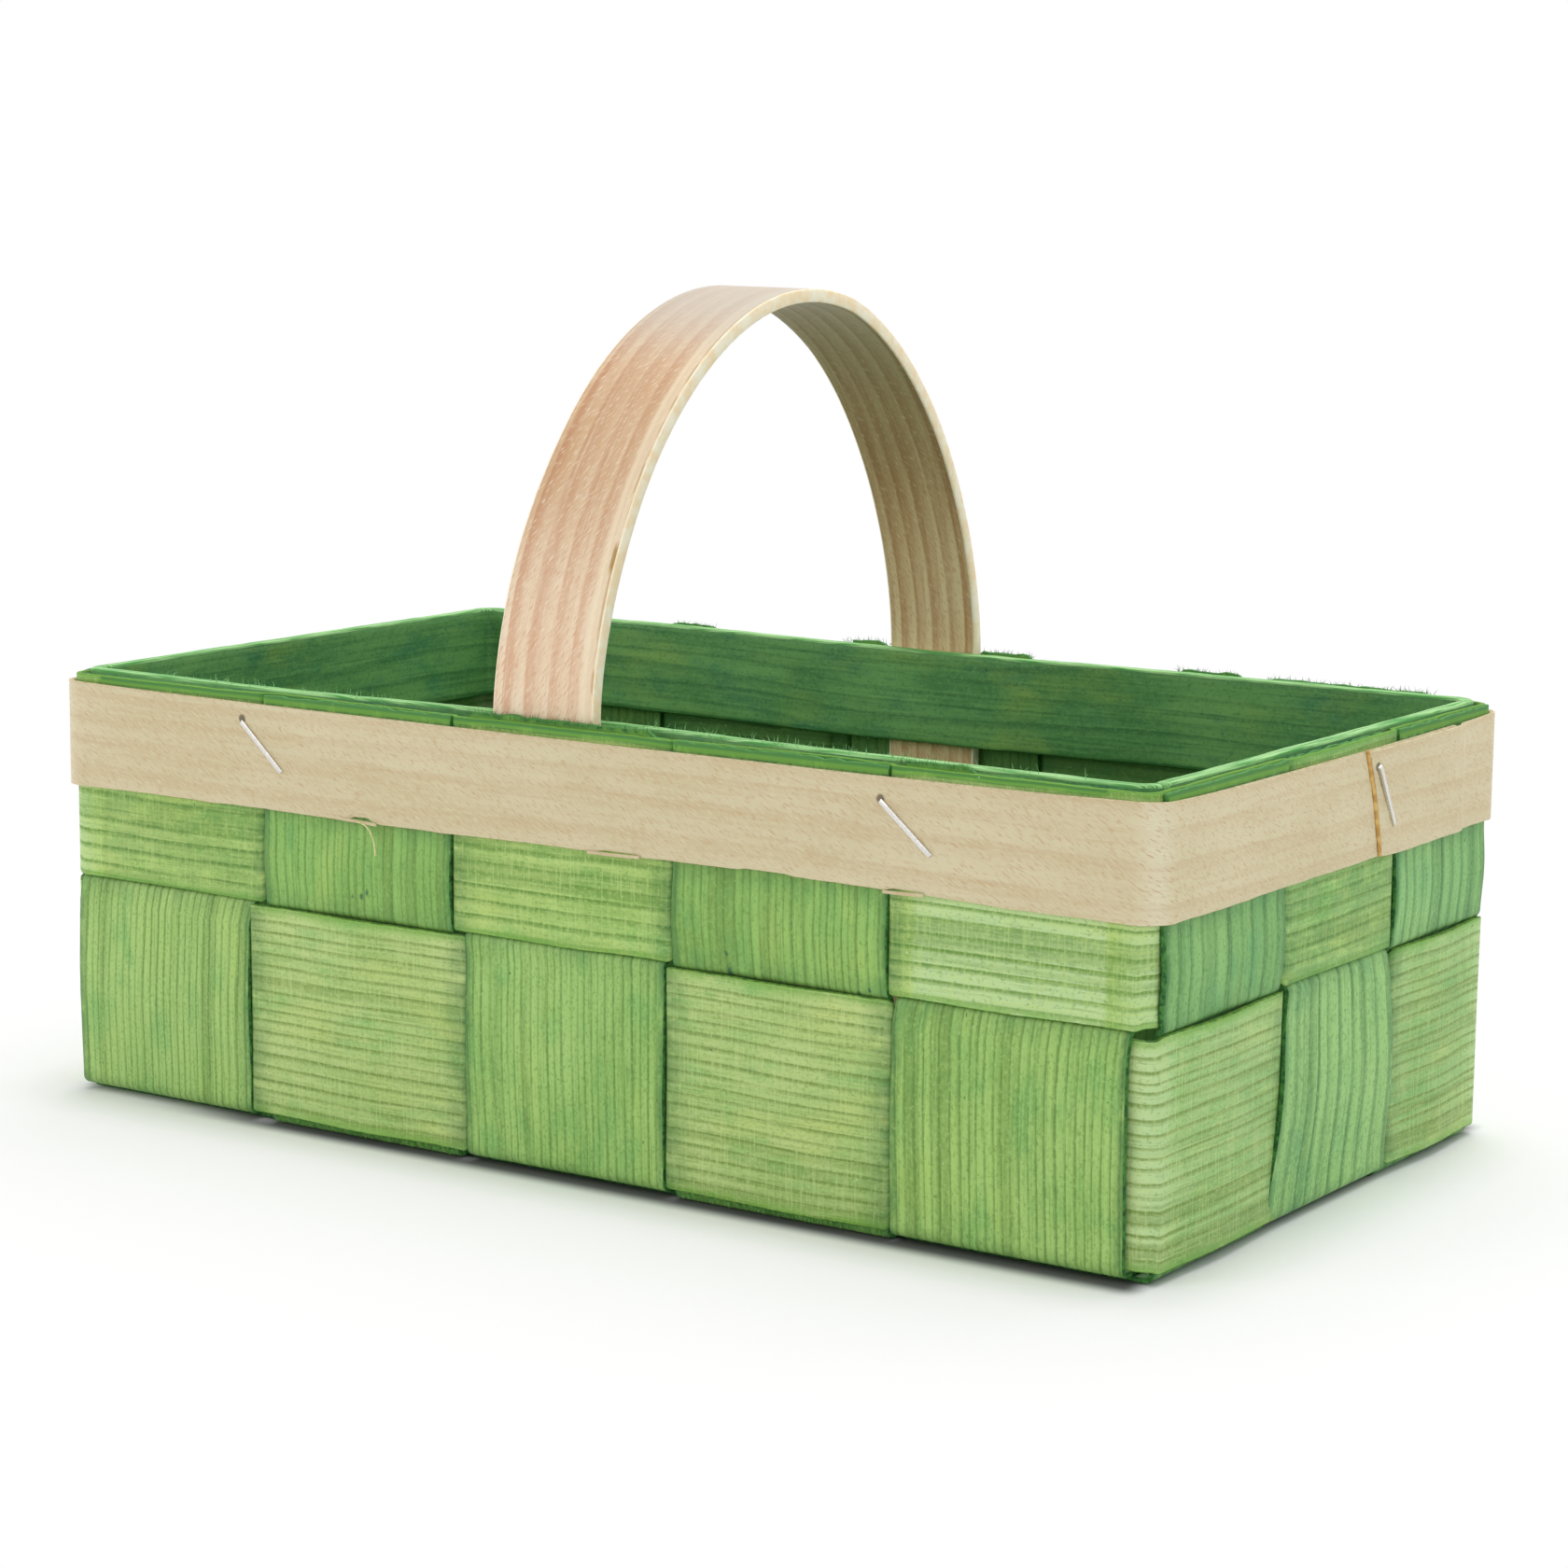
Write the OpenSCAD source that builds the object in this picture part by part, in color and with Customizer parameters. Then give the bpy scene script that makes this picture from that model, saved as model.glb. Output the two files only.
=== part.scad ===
// Chip basket: plain-woven splints, two rim bands and a bent handle.
// Origin on the floor at the middle of the base, +X along the length, +Z up.
// The gap between two crossing chips is real air, so each chip stays a solid of its own.

/* [Basket] */
// Length over the outer rim band, without its lap
basket_l = 230; // [190:1:300]
// Width over the outer rim band
basket_w = 127; // [112:1:170]
// Height of the woven wall over the floor
wall_h = 78.2; // [66:0.1:100]

/* [Woven chips] */
// Thickness of a chip
chip_t = 0.9; // [0.7:0.05:1.1]
// Air between two crossing chips
chip_gap = 0.12; // [0.1:0.01:0.2]
// Gap between two neighbouring splints
splint_gap = 1.9; // [1.8:0.1:3.5]
// Gap between the two weavers
row_gap = 2; // [1.8:0.1:3.5]
// Lower edge of the lower weaver over the floor
weaver_foot = 2.5; // [2.4:0.1:4]
// Radius of a splint's bend at the floor, at the middle of the chip
bend_r = 1.3; // [1:0.1:1.6]
// Radius of a weaver's corner, at the middle of the chip
corner_r = 2.5; // [1.5:0.1:3]
// How far the lower uprights belly out
upright_belly = 1; // [0.2:0.1:2]
// How far the lower weaver bellies out
weaver_belly = 0.8; // [0.2:0.1:2]
// How far the upper uprights belly out below the rim band
upper_belly = 0.4; // [0.1:0.1:1]
// Overlap of the lower weaver's ends
lower_lap = 22; // [12:1:26]
// Overlap of the upper weaver's ends
upper_lap = 10.5; // [6:0.5:13]

/* [Rim] */
// Thickness of the outer rim band
band_t = 0.9; // [0.6:0.05:1.4]
// Height of the outer rim band
band_h = 20; // [17:0.5:26]
// How far the outer rim band ends below the wall's top
band_drop = 1; // [0:0.1:2]
// Outside corner radius of the outer rim band
band_corner_r = 5; // [4.6:0.1:7]
// Air between the weave and the outer rim band
band_gap = 0.15; // [0.1:0.01:0.3]
// Place of the lap's visible end at its top, from the middle of the short wall
seam_s = 11; // [4:0.5:13]
// How much further back that end is at its bottom
seam_slant = 9.6; // [2:0.1:10]
// Thickness of the inner rim band
hoop_t = 2.4; // [1.8:0.1:3.2]
// Height of the inner rim band
hoop_h = 17.4; // [15:0.1:20]
// How far the inner rim band stands over the wall's top
hoop_rise = 0.4; // [0:0.1:1.5]
// Outside corner radius of the inner rim band
hoop_corner_r = 4; // [3.6:0.1:6]

/* [Handle] */
// Width of the handle
handle_w = 20; // [16:0.5:24]
// Thickness of the handle
handle_t = 2.4; // [1.8:0.1:3]
// Place of the handle along the basket
handle_x = -3.5; // [-5:0.5:0]
// Height of the handle's outer top over the wall's top
handle_rise = 72.5; // [50:0.5:90]
// Height over the wall's top at which the legs start to lean in
handle_spring = 1.3; // [0.5:0.1:6]
// Height of the legs' lower ends over the floor
handle_foot = 8; // [4:0.5:30]

/* [Staples] */
// Outside width of a staple
staple_crown = 12.7; // [11:0.1:14]
// Length of a rim staple's legs under its crown
staple_leg = 5.2; // [4.6:0.1:5.3]
// Length of a handle staple's legs under its crown
handle_staple_leg = 3.2; // [2.6:0.1:3.6]
// Width of the staple wire
wire_w = 1; // [0.7:0.05:1.2]
// Thickness of the staple wire
wire_t = 0.5; // [0.4:0.05:0.6]
// Slant of the staples on the long walls, in degrees
long_wall_slant = 41; // [20:1:60]
// Slant of the staples on the short walls, in degrees
short_wall_slant = 60; // [40:1:65]

/* [Hidden] */

cross_count = 5;
long_count = 3;

// Steps of the curves
bend_steps = 4;
belly_steps = 10;
bow_steps = 8;
arch_steps = 36;

// Middle of each layer from the middle of the weave, and half a splint's gap
layer = (chip_t + chip_gap) / 2;
half_gap = splint_gap / 2;

// Faces of the weave, and the middle of the weave in the long and in the short walls
weave_out = layer + chip_t / 2;
mid_x = basket_l / 2 - band_t - band_gap - weave_out;
mid_y = basket_w / 2 - band_t - band_gap - weave_out;

// The outermost splints reach just past the start of the weavers' corners
corner_reach = 0.3;
edge_x = mid_x - layer - corner_r + corner_reach;
edge_y = mid_y - layer - corner_r + corner_reach;
cross_pitch = (2 * edge_x + splint_gap) / cross_count;
long_pitch = (2 * edge_y + splint_gap) / long_count;
cross_w = cross_pitch - splint_gap;
long_w = long_pitch - splint_gap;

// Middles of the gaps between splints, along the long walls and along the short walls
cross_gaps = [for (k = [1 : cross_count - 1]) (k - cross_count / 2) * cross_pitch];
long_gaps = [for (k = [1 : long_count - 1]) (k - long_count / 2) * long_pitch];

// Heights in the wall
weaver_h = (wall_h - weaver_foot - row_gap) / 2;
row_1_top = weaver_foot + weaver_h;
row_2_foot = row_1_top + row_gap;
band_top = wall_h - band_drop;
band_foot = band_top - band_h;
hoop_top = wall_h + hoop_rise;
hoop_foot = hoop_top - hoop_h;

// A weaver's end steps inwards over its own start after this short lead
lap_lead = 1.8;
lap_air = 1;
lap_layer = 3 * layer;

// The seat of the handle's legs and the rim band inside them
handle_mid = mid_y - weave_out - chip_gap - handle_t / 2;
handle_side_air = 1;
handle_arch_power = 1.18;
hoop_seat = weave_out + chip_gap + hoop_t / 2;

// The inner rim band swings inwards round the handle, and far enough to pass the upper lap
bow_depth = handle_t + chip_gap;
bow_flat = handle_w / 2 + handle_side_air;
lap_pass = 1.5;
upper_lap_end = cross_gaps[2] + half_gap + lap_lead + splint_gap + upper_lap;
bow_mid = max(upper_lap_end + handle_x + lap_pass, bow_flat + 2 * bow_depth);
bow_reach = 2 * bow_mid - bow_flat;
butt_gap = 0.4;

// The lap of the outer rim band
lap_glue = 0.1;
lap_step = 4;
lap_corner_air = 10.5;
lap_end = basket_w / 2 - band_corner_r - lap_corner_air;
lap_cut_air = 0.5;

// Staple wire and its slots
wire_round = 0.4;
wire_point = 0.5;
slot_air = 0.05;
staple_height_share = 0.44;
staple_z = hoop_foot + staple_height_share * (band_top - hoop_foot);

// One overrun for all cuts
over = 1;

// Curves in the plane. Each returns the points after its start.

function arc(centre, r, from, to, steps) =
    [for (k = [1 : steps]) centre + r * [cos(from + (to - from) * k / steps), sin(from + (to - from) * k / steps)]];

// Two equal arcs that carry a chip from one layer to another while it runs on
function s_bend(a, b) =
    let (
        run = b.x - a.x,
        side = b.y - a.y,
        r = (run * run + side * side) / (4 * abs(side)),
        turn = 2 * atan(abs(side) / run),
        way = side > 0 ? 1 : -1,
        rising = [for (k = [1 : bend_steps]) let (v = turn * k / bend_steps) [r * sin(v), way * r * (1 - cos(v))]]
    )
    concat(
        [for (p = rising) a + p],
        [for (k = [bend_steps - 2 : -1 : 0]) b - rising[k]],
        [b]
    );

// A straight run, or one that bellies out
function run_out(a, b, belly) =
    belly > 0
    ? [for (k = [1 : belly_steps]) a + (b - a) * k / belly_steps + [0, belly * pow(sin(180 * k / belly_steps), 2)]]
    : [b];

// A strip of even thickness along a path
function unit(v) = v / norm(v);
function left_of(v) = [-v.y, v.x];
function edge_normals(path) = [for (k = [0 : len(path) - 2]) left_of(unit(path[k + 1] - path[k]))];
function side_points(path, off) =
    let (n = edge_normals(path), last = len(path) - 1)
    [for (k = [0 : last])
        k == 0 ? path[0] + off * n[0]
        : k == last ? path[last] + off * n[last - 1]
        : path[k] + off * (n[k - 1] + n[k]) / (1 + n[k - 1] * n[k])];
function reversed(list) = [for (k = [len(list) - 1 : -1 : 0]) list[k]];

module ribbon(path, thickness) {
    polygon(concat(side_points(path, thickness / 2), reversed(side_points(path, -thickness / 2))));
}

// Splints: base, tight bend, wall. A sign of 1 is the upper layer of the base and the outer layer of the wall.

function floor_z(sign) = chip_t / 2 + (1 + sign) * layer;

function floor_run(gaps, sign) =
    [for (k = [0 : len(gaps) - 1])
        let (s = sign * pow(-1, k))
        each concat(
            [[gaps[k] - half_gap, floor_z(s)]],
            s_bend([gaps[k] - half_gap, floor_z(s)], [gaps[k] + half_gap, floor_z(-s)])
        )];

function wall_run(sign) =
    let (
        start = floor_z(sign) + bend_r,
        lower_n = sign * layer,
        upper_n = -sign * layer
    )
    concat(
        run_out([start, lower_n], [row_1_top, lower_n], sign > 0 ? upright_belly : 0),
        s_bend([row_1_top, lower_n], [row_2_foot, upper_n]),
        run_out([row_2_foot, upper_n], [band_foot, upper_n], sign > 0 ? 0 : upper_belly),
        [[wall_h, upper_n]]
    );

function half_splint(mid, gaps, sign) =
    let (
        end_sign = sign * pow(-1, len(gaps)),
        z = floor_z(end_sign),
        heel = mid + end_sign * layer - bend_r
    )
    concat(
        floor_run(gaps, sign),
        [[heel, z]],
        arc([heel, z + bend_r], bend_r, -90, 0, bend_steps),
        [for (p = wall_run(end_sign)) [mid + p.y, p.x]]
    );

function splint_path(mid, gaps, sign) =
    let (half = half_splint(mid, gaps, sign))
    concat([for (p = reversed(half)) [-p.x, p.y]], half);

function outer_half(gaps) = [for (g = gaps) if (g > 0) g];

module cross_splint(i) {
    sign = i % 2 == 0 ? 1 : -1;
    difference() {
        translate([(i - (cross_count + 1) / 2) * cross_pitch, 0, 0])
            rotate([90, 0, 90])
                linear_extrude(height = cross_w, center = true)
                    ribbon(splint_path(mid_y, outer_half(long_gaps), sign), chip_t);
        all_leg_slots();
    }
}

module long_splint(j) {
    sign = j % 2 == 0 ? 1 : -1;
    difference() {
        translate([0, (j - (long_count + 1) / 2) * long_pitch, 0])
            rotate([90, 0, 0])
                linear_extrude(height = long_w, center = true)
                    ribbon(splint_path(mid_x, outer_half(cross_gaps), sign), chip_t);
        all_leg_slots();
    }
}

// Walls are numbered 0 front, 1 right, 2 back, 3 left. Along a wall, x runs to the right as seen
// from outside, and a layer's offset counts outwards.

function turned(wall, p) =
    wall == 0 ? p
    : wall == 1 ? [-p.y, p.x]
    : wall == 2 ? -p
    : [p.y, -p.x];
function on_wall_plan(wall, mid, p) = turned(wall, [p.x, -(mid + p.y)]);
function wall_mid(wall) = wall % 2 == 0 ? mid_y : mid_x;
function wall_gaps(wall) = wall % 2 == 0 ? cross_gaps : long_gaps;

// A weaver lies outside where the upright lies inside
function weaver_signs(wall, row) =
    wall % 2 == 0
    ? [for (i = [1 : cross_count]) (i + row) % 2 == 0 ? -1 : 1]
    : [for (j = [1 : long_count]) (j + row) % 2 == 0 ? 1 : -1];

// Where a weaver's straight run along a wall ends and its corner starts
function corner_start(wall, row) =
    wall_mid(wall + 1) + weaver_signs(wall + 1, row)[0] * layer - corner_r;

function weaver_cells(wall, row, first, last, from, to, belly) =
    let (gaps = wall_gaps(wall), signs = weaver_signs(wall, row))
    [for (k = [first : last])
        let (
            a = k == first ? from : gaps[k - 1] + half_gap,
            b = k == last ? to : gaps[k] - half_gap,
            n = signs[k] * layer
        )
        each concat(
            run_out([a, n], [b, n], n > 0 ? belly : 0),
            k < last ? s_bend([b, n], [b + splint_gap, -n]) : []
        )];

function weaver_part(wall, row, first, last, from, to, belly) =
    [for (p = weaver_cells(wall, row, first, last, from, to, belly)) on_wall_plan(wall, wall_mid(wall), p)];

function weaver_corner(wall, row) =
    let (start = corner_start(wall, row), n = weaver_signs(wall, row)[0] * layer, mid = wall_mid(wall))
    [for (p = arc([start, -(mid + n - corner_r)], corner_r, -90, 0, bend_steps)) turned(wall, p)];

function weaver_wall(wall, row, belly) =
    let (end = corner_start(wall, row), last = len(wall_gaps(wall)))
    concat(weaver_part(wall, row, 0, last, -end, end, belly), weaver_corner(wall, row));

// The path starts on the back wall in the splint's cell named lap_cell, goes once round, and its end
// steps inwards over its start.
function weaver_path(row, lap_cell, lap, belly) =
    let (
        end = corner_start(2, row),
        step_from = cross_gaps[lap_cell - 1] + half_gap + lap_lead,
        step_to = step_from + splint_gap,
        start = step_to + lap_air
    )
    concat(
        [on_wall_plan(2, mid_y, [start, -layer])],
        weaver_part(2, row, lap_cell, cross_count - 1, start, end, belly),
        weaver_corner(2, row),
        weaver_wall(3, row, belly),
        weaver_wall(0, row, belly),
        weaver_wall(1, row, belly),
        weaver_part(2, row, 0, lap_cell, -end, step_from, belly),
        [for (p = s_bend([step_from, -layer], [step_to, -lap_layer])) on_wall_plan(2, mid_y, p)],
        [on_wall_plan(2, mid_y, [step_to + lap, -lap_layer])]
    );

module weaver(row, foot, lap_cell, lap, belly) {
    translate([0, 0, foot])
        linear_extrude(height = weaver_h)
            ribbon(weaver_path(row, lap_cell, lap, belly), chip_t);
}

// A plain ring corner, for the two rim bands
function ring_corner(wall, off_long, off_short, r) =
    let (here = wall % 2 == 0 ? off_long : off_short, next = wall % 2 == 0 ? off_short : off_long)
    [for (p = arc([next - r, r - here], r, -90, 0, bend_steps)) turned(wall, p)];

// Swing of the inner rim band round the handle, as offsets along a long wall
function bow_points(centre) =
    let (blend = bow_reach - bow_flat)
    concat(
        [for (k = [0 : bow_steps])
            [centre - bow_reach + blend * k / bow_steps, bow_depth * (1 - cos(180 * k / bow_steps)) / 2]],
        [for (k = [0 : bow_steps])
            [centre + bow_flat + blend * k / bow_steps, bow_depth * (1 + cos(180 * k / bow_steps)) / 2]]
    );

module inner_ring() {
    r = hoop_corner_r - hoop_t / 2;
    at_long = mid_y - hoop_seat;
    at_short = mid_x - hoop_seat;
    front = [for (p = bow_points(handle_x)) on_wall_plan(0, at_long, [p.x, -p.y])];
    back = [for (p = bow_points(-handle_x)) on_wall_plan(2, at_long, [p.x, -p.y])];
    path = concat(
        [turned(1, [r - at_long + butt_gap, -at_short]), turned(1, [at_long - r, -at_short])],
        ring_corner(1, at_long, at_short, r),
        back,
        [turned(2, [at_short - r, -at_long])],
        ring_corner(2, at_long, at_short, r),
        [turned(3, [at_long - r, -at_short])],
        ring_corner(3, at_long, at_short, r),
        front,
        [turned(0, [at_short - r, -at_long])],
        ring_corner(0, at_long, at_short, r)
    );
    translate([0, 0, hoop_foot])
        linear_extrude(height = hoop_h)
            ribbon(path, hoop_t);
}

module outer_ring() {
    r = band_corner_r - band_t / 2;
    at_long = basket_w / 2 - band_t / 2;
    at_short = basket_l / 2 - band_t / 2;
    ply = band_t + lap_glue;
    path = concat(
        [turned(1, [seam_s, -(at_short + ply)]), turned(1, [lap_end - lap_step, -(at_short + ply)])],
        [for (p = s_bend([lap_end - lap_step, ply], [lap_end, 0])) on_wall_plan(1, at_short, p)],
        [turned(1, [at_long - r, -at_short])],
        ring_corner(1, at_long, at_short, r),
        [turned(2, [at_short - r, -at_long])],
        ring_corner(2, at_long, at_short, r),
        [turned(3, [at_long - r, -at_short])],
        ring_corner(3, at_long, at_short, r),
        [turned(0, [at_short - r, -at_long])],
        ring_corner(0, at_long, at_short, r),
        [turned(1, [lap_end - lap_step - lap_cut_air, -at_short])]
    );
    translate([0, 0, band_foot])
        linear_extrude(height = band_h)
            ribbon(path, band_t);
}

// The slanted end of the lap's outer ply
module seam_cut() {
    slope = seam_slant / band_h;
    translate([basket_l / 2 + lap_glue / 2, 0, 0])
        rotate([90, 0, 90])
            linear_extrude(height = band_t + over)
                polygon([
                    [seam_s - over * slope, band_top + over],
                    [seam_s - over - seam_slant, band_top + over],
                    [seam_s - over - seam_slant, band_foot - over],
                    [seam_s + seam_slant + over * slope, band_foot - over]
                ]);
}

// Staples: the crown lies on the plane y = 0, and the legs point along +y

module staple(leg) {
    half = staple_crown / 2;
    translate([0, 0, -wire_w / 2])
        linear_extrude(height = wire_w)
            polygon(concat(
                [[wire_t - half, 0], [wire_t - half, leg], [-half, leg - wire_point], [-half, wire_round - wire_t]],
                arc([wire_round - half, wire_round - wire_t], wire_round, 180, 270, bend_steps),
                [[half - wire_round, -wire_t]],
                arc([half - wire_round, wire_round - wire_t], wire_round, 270, 360, bend_steps),
                [[half, leg - wire_point], [half - wire_t, leg], [half - wire_t, 0]]
            ));
}

module leg_slots(leg) {
    for (way = [-1, 1])
        translate([way * (staple_crown - wire_t) / 2 - wire_t / 2 - slot_air, -over / 2, -wire_w / 2 - slot_air])
            cube([wire_t + 2 * slot_air, leg + slot_air + over / 2, wire_w + 2 * slot_air]);
}

module crown_slot() {
    translate([-staple_crown / 2 - slot_air, 0, -wire_w / 2 - slot_air])
        mirror([0, 1, 0])
            cube([staple_crown + 2 * slot_air, wire_t + over / 2, wire_w + 2 * slot_air]);
}

module on_wall(wall, out, s, slant) {
    rotate([0, 0, 90 * wall])
        translate([s, -out, staple_z])
            rotate([0, slant, 0])
                children();
}

module at_long_wall(wall, side) {
    on_wall(wall, basket_w / 2, side * cross_gaps[3], long_wall_slant) children();
}

module at_short_wall(wall, plies) {
    on_wall(wall, basket_l / 2 + (plies - 1) * (band_t + lap_glue), long_gaps[1], short_wall_slant) children();
}

module at_handle(wall) {
    on_wall(wall, mid_y + weave_out - wire_t, wall == 0 ? handle_x : -handle_x, 0) children();
}

module all_leg_slots() {
    for (wall = [0, 2]) {
        for (side = [-1, 1])
            at_long_wall(wall, side) leg_slots(staple_leg);
        at_handle(wall) leg_slots(handle_staple_leg);
    }
    at_short_wall(1, 2) leg_slots(staple_leg);
    at_short_wall(3, 1) leg_slots(staple_leg);
}

// The sub-parts

module cross_splint_1() {
    color([0.50, 0.70, 0.36]) cross_splint(1);
}

module cross_splint_2() {
    color([0.47, 0.68, 0.38]) cross_splint(2);
}

module cross_splint_3() {
    color([0.53, 0.72, 0.38]) cross_splint(3);
}

module cross_splint_4() {
    color([0.46, 0.66, 0.36]) cross_splint(4);
}

module cross_splint_5() {
    color([0.52, 0.72, 0.40]) cross_splint(5);
}

module long_splint_1() {
    color([0.48, 0.70, 0.40]) long_splint(1);
}

module long_splint_2() {
    color([0.50, 0.72, 0.40]) long_splint(2);
}

module long_splint_3() {
    color([0.46, 0.68, 0.42]) long_splint(3);
}

module lower_weaver() {
    color([0.44, 0.66, 0.32]) weaver(1, weaver_foot, 4, lower_lap, weaver_belly);
}

module upper_weaver() {
    color([0.46, 0.68, 0.34])
        difference() {
            weaver(2, row_2_foot, 3, upper_lap, 0);
            all_leg_slots();
            for (wall = [0, 2])
                at_handle(wall) crown_slot();
        }
}

module outer_rim_band() {
    color([0.82, 0.75, 0.61])
        difference() {
            outer_ring();
            seam_cut();
            for (wall = [0, 2], side = [-1, 1])
                at_long_wall(wall, side) leg_slots(staple_leg);
            at_short_wall(1, 2) leg_slots(staple_leg);
            at_short_wall(3, 1) leg_slots(staple_leg);
        }
}

module inner_rim_band() {
    color([0.24, 0.46, 0.24])
        difference() {
            inner_ring();
            for (wall = [0, 2], side = [-1, 1])
                at_long_wall(wall, side) leg_slots(staple_leg);
            at_short_wall(1, 2) leg_slots(staple_leg);
            at_short_wall(3, 1) leg_slots(staple_leg);
        }
}

module handle() {
    spring = wall_h + handle_spring;
    rise = wall_h + handle_rise - handle_t / 2 - spring;
    arch = [for (k = [0 : arch_steps])
        [-handle_mid * cos(180 * k / arch_steps), spring + rise * pow(sin(180 * k / arch_steps), handle_arch_power)]];
    path = concat([[-handle_mid, handle_foot]], arch, [[handle_mid, handle_foot]]);
    color([0.85, 0.72, 0.60])
        difference() {
            translate([handle_x, 0, 0])
                rotate([90, 0, 90])
                    linear_extrude(height = handle_w, center = true)
                        ribbon(path, handle_t);
            for (wall = [0, 2])
                at_handle(wall) leg_slots(handle_staple_leg);
        }
}

module staple_front_left() {
    color("silver") at_long_wall(0, -1) staple(staple_leg);
}

module staple_front_right() {
    color("silver") at_long_wall(0, 1) staple(staple_leg);
}

module staple_right() {
    color("silver") at_short_wall(1, 2) staple(staple_leg);
}

module staple_back_left() {
    color("silver") at_long_wall(2, 1) staple(staple_leg);
}

module staple_back_right() {
    color("silver") at_long_wall(2, -1) staple(staple_leg);
}

module staple_left() {
    color("silver") at_short_wall(3, 1) staple(staple_leg);
}

module handle_staple_front() {
    color("silver") at_handle(0) staple(handle_staple_leg);
}

module handle_staple_back() {
    color("silver") at_handle(2) staple(handle_staple_leg);
}

cross_splint_1();
cross_splint_2();
cross_splint_3();
cross_splint_4();
cross_splint_5();
long_splint_1();
long_splint_2();
long_splint_3();
lower_weaver();
upper_weaver();
outer_rim_band();
inner_rim_band();
handle();
staple_front_left();
staple_front_right();
staple_right();
staple_back_left();
staple_back_right();
staple_left();
handle_staple_front();
handle_staple_back();
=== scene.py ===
import math
import random

import bpy
from mathutils import Matrix, Vector, noise


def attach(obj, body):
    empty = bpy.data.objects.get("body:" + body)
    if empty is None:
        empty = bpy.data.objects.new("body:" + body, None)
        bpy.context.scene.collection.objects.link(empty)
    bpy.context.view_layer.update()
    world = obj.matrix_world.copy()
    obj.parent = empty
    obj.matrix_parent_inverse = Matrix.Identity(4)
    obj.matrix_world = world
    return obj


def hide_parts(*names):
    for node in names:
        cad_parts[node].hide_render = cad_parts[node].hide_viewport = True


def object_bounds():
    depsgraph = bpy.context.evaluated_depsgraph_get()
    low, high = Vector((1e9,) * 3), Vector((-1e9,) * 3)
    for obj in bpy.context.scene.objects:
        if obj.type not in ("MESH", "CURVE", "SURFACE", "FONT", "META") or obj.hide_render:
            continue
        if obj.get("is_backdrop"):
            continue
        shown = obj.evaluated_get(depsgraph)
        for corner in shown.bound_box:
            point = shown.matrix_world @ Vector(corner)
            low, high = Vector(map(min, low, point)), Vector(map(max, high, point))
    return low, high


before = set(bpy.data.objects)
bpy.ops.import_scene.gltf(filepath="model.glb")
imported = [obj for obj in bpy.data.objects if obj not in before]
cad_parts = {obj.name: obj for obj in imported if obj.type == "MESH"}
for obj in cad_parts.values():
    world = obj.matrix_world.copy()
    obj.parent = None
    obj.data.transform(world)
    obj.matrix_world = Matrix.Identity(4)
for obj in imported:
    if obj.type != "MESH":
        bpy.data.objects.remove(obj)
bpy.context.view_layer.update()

bpy.ops.object.select_all(action="DESELECT")
scene = bpy.context.scene


# The studio is a sheet of white paper inside a tent of soft light.
# The paper reads white in the picture and keeps the basket's faint shadow.

camera_place = (0.39383, -0.58367, 0.17632)
camera_turn = math.radians(33.784)
camera_dip = math.radians(9.345)
camera_lean = math.radians(0.539)
lens = bpy.data.cameras.new("camera")
lens.lens = 90.18
lens.sensor_width = 36
camera = bpy.data.objects.new("camera", lens)
swing = Matrix.Rotation(camera_turn, 4, "Z")
tilt = Matrix.Rotation(math.radians(90) - camera_dip, 4, "X")
lean = Matrix.Rotation(camera_lean, 4, "Z")
camera.matrix_world = Matrix.Translation(camera_place) @ swing @ tilt @ lean
scene.collection.objects.link(camera)
scene.camera = camera

scene.view_settings.view_transform = "Standard"


def fill(tree, sockets, values):
    """Links each value that is a socket to its input, and sets the others as plain values."""
    for key, value in values.items():
        if isinstance(value, bpy.types.NodeSocket):
            tree.links.new(value, sockets[key])
        else:
            sockets[key].default_value = value


def add_node(tree, kind, inputs=None, **settings):
    """A shader node with its settings and its inputs."""
    made = tree.nodes.new(kind)
    for key, value in settings.items():
        setattr(made, key, value)
    fill(tree, made.inputs, inputs or {})
    return made


def reckon(tree, operation, *values):
    """A Math node's result."""
    return add_node(tree, "ShaderNodeMath", dict(enumerate(values)), operation=operation).outputs[0]


def reckon_vector(tree, operation, *values):
    """A Vector Math node's result: a number for LENGTH and DISTANCE, and else a vector."""
    found = add_node(tree, "ShaderNodeVectorMath", dict(enumerate(values)), operation=operation).outputs
    return found["Value" if operation in ("LENGTH", "DISTANCE") else "Vector"]


def spot_on_object(tree):
    return add_node(tree, "ShaderNodeTexCoord").outputs["Object"]


def split(tree, vector):
    return add_node(tree, "ShaderNodeSeparateXYZ", {0: vector}).outputs


def fade(tree, value, low, high, top=1.0):
    """0 below low, top above high, and a soft change between them."""
    inputs = {"Value": value, "From Min": low, "From Max": high, "To Min": 0.0, "To Max": top}
    return add_node(tree, "ShaderNodeMapRange", inputs, interpolation_type="SMOOTHSTEP").outputs[0]


def seen_directly(tree):
    """1 for rays from the camera, in reflections and through glass."""
    path = add_node(tree, "ShaderNodeLightPath").outputs
    mirror = reckon(tree, "MAXIMUM", path["Is Glossy Ray"], path["Is Transmission Ray"])
    return reckon(tree, "MAXIMUM", path["Is Camera Ray"], mirror)


tent = bpy.data.worlds.new("tent")
tent.use_nodes = True
sky = tent.node_tree
sky.nodes.clear()
tent_glow = 0.6
glow = reckon(sky, "MULTIPLY_ADD", seen_directly(sky), 1.0 - tent_glow, tent_glow)
shell = add_node(sky, "ShaderNodeBackground", {"Color": (1, 1, 1, 1), "Strength": glow})
add_node(sky, "ShaderNodeOutputWorld", {"Surface": shell.outputs[0]})
scene.world = tent

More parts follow.
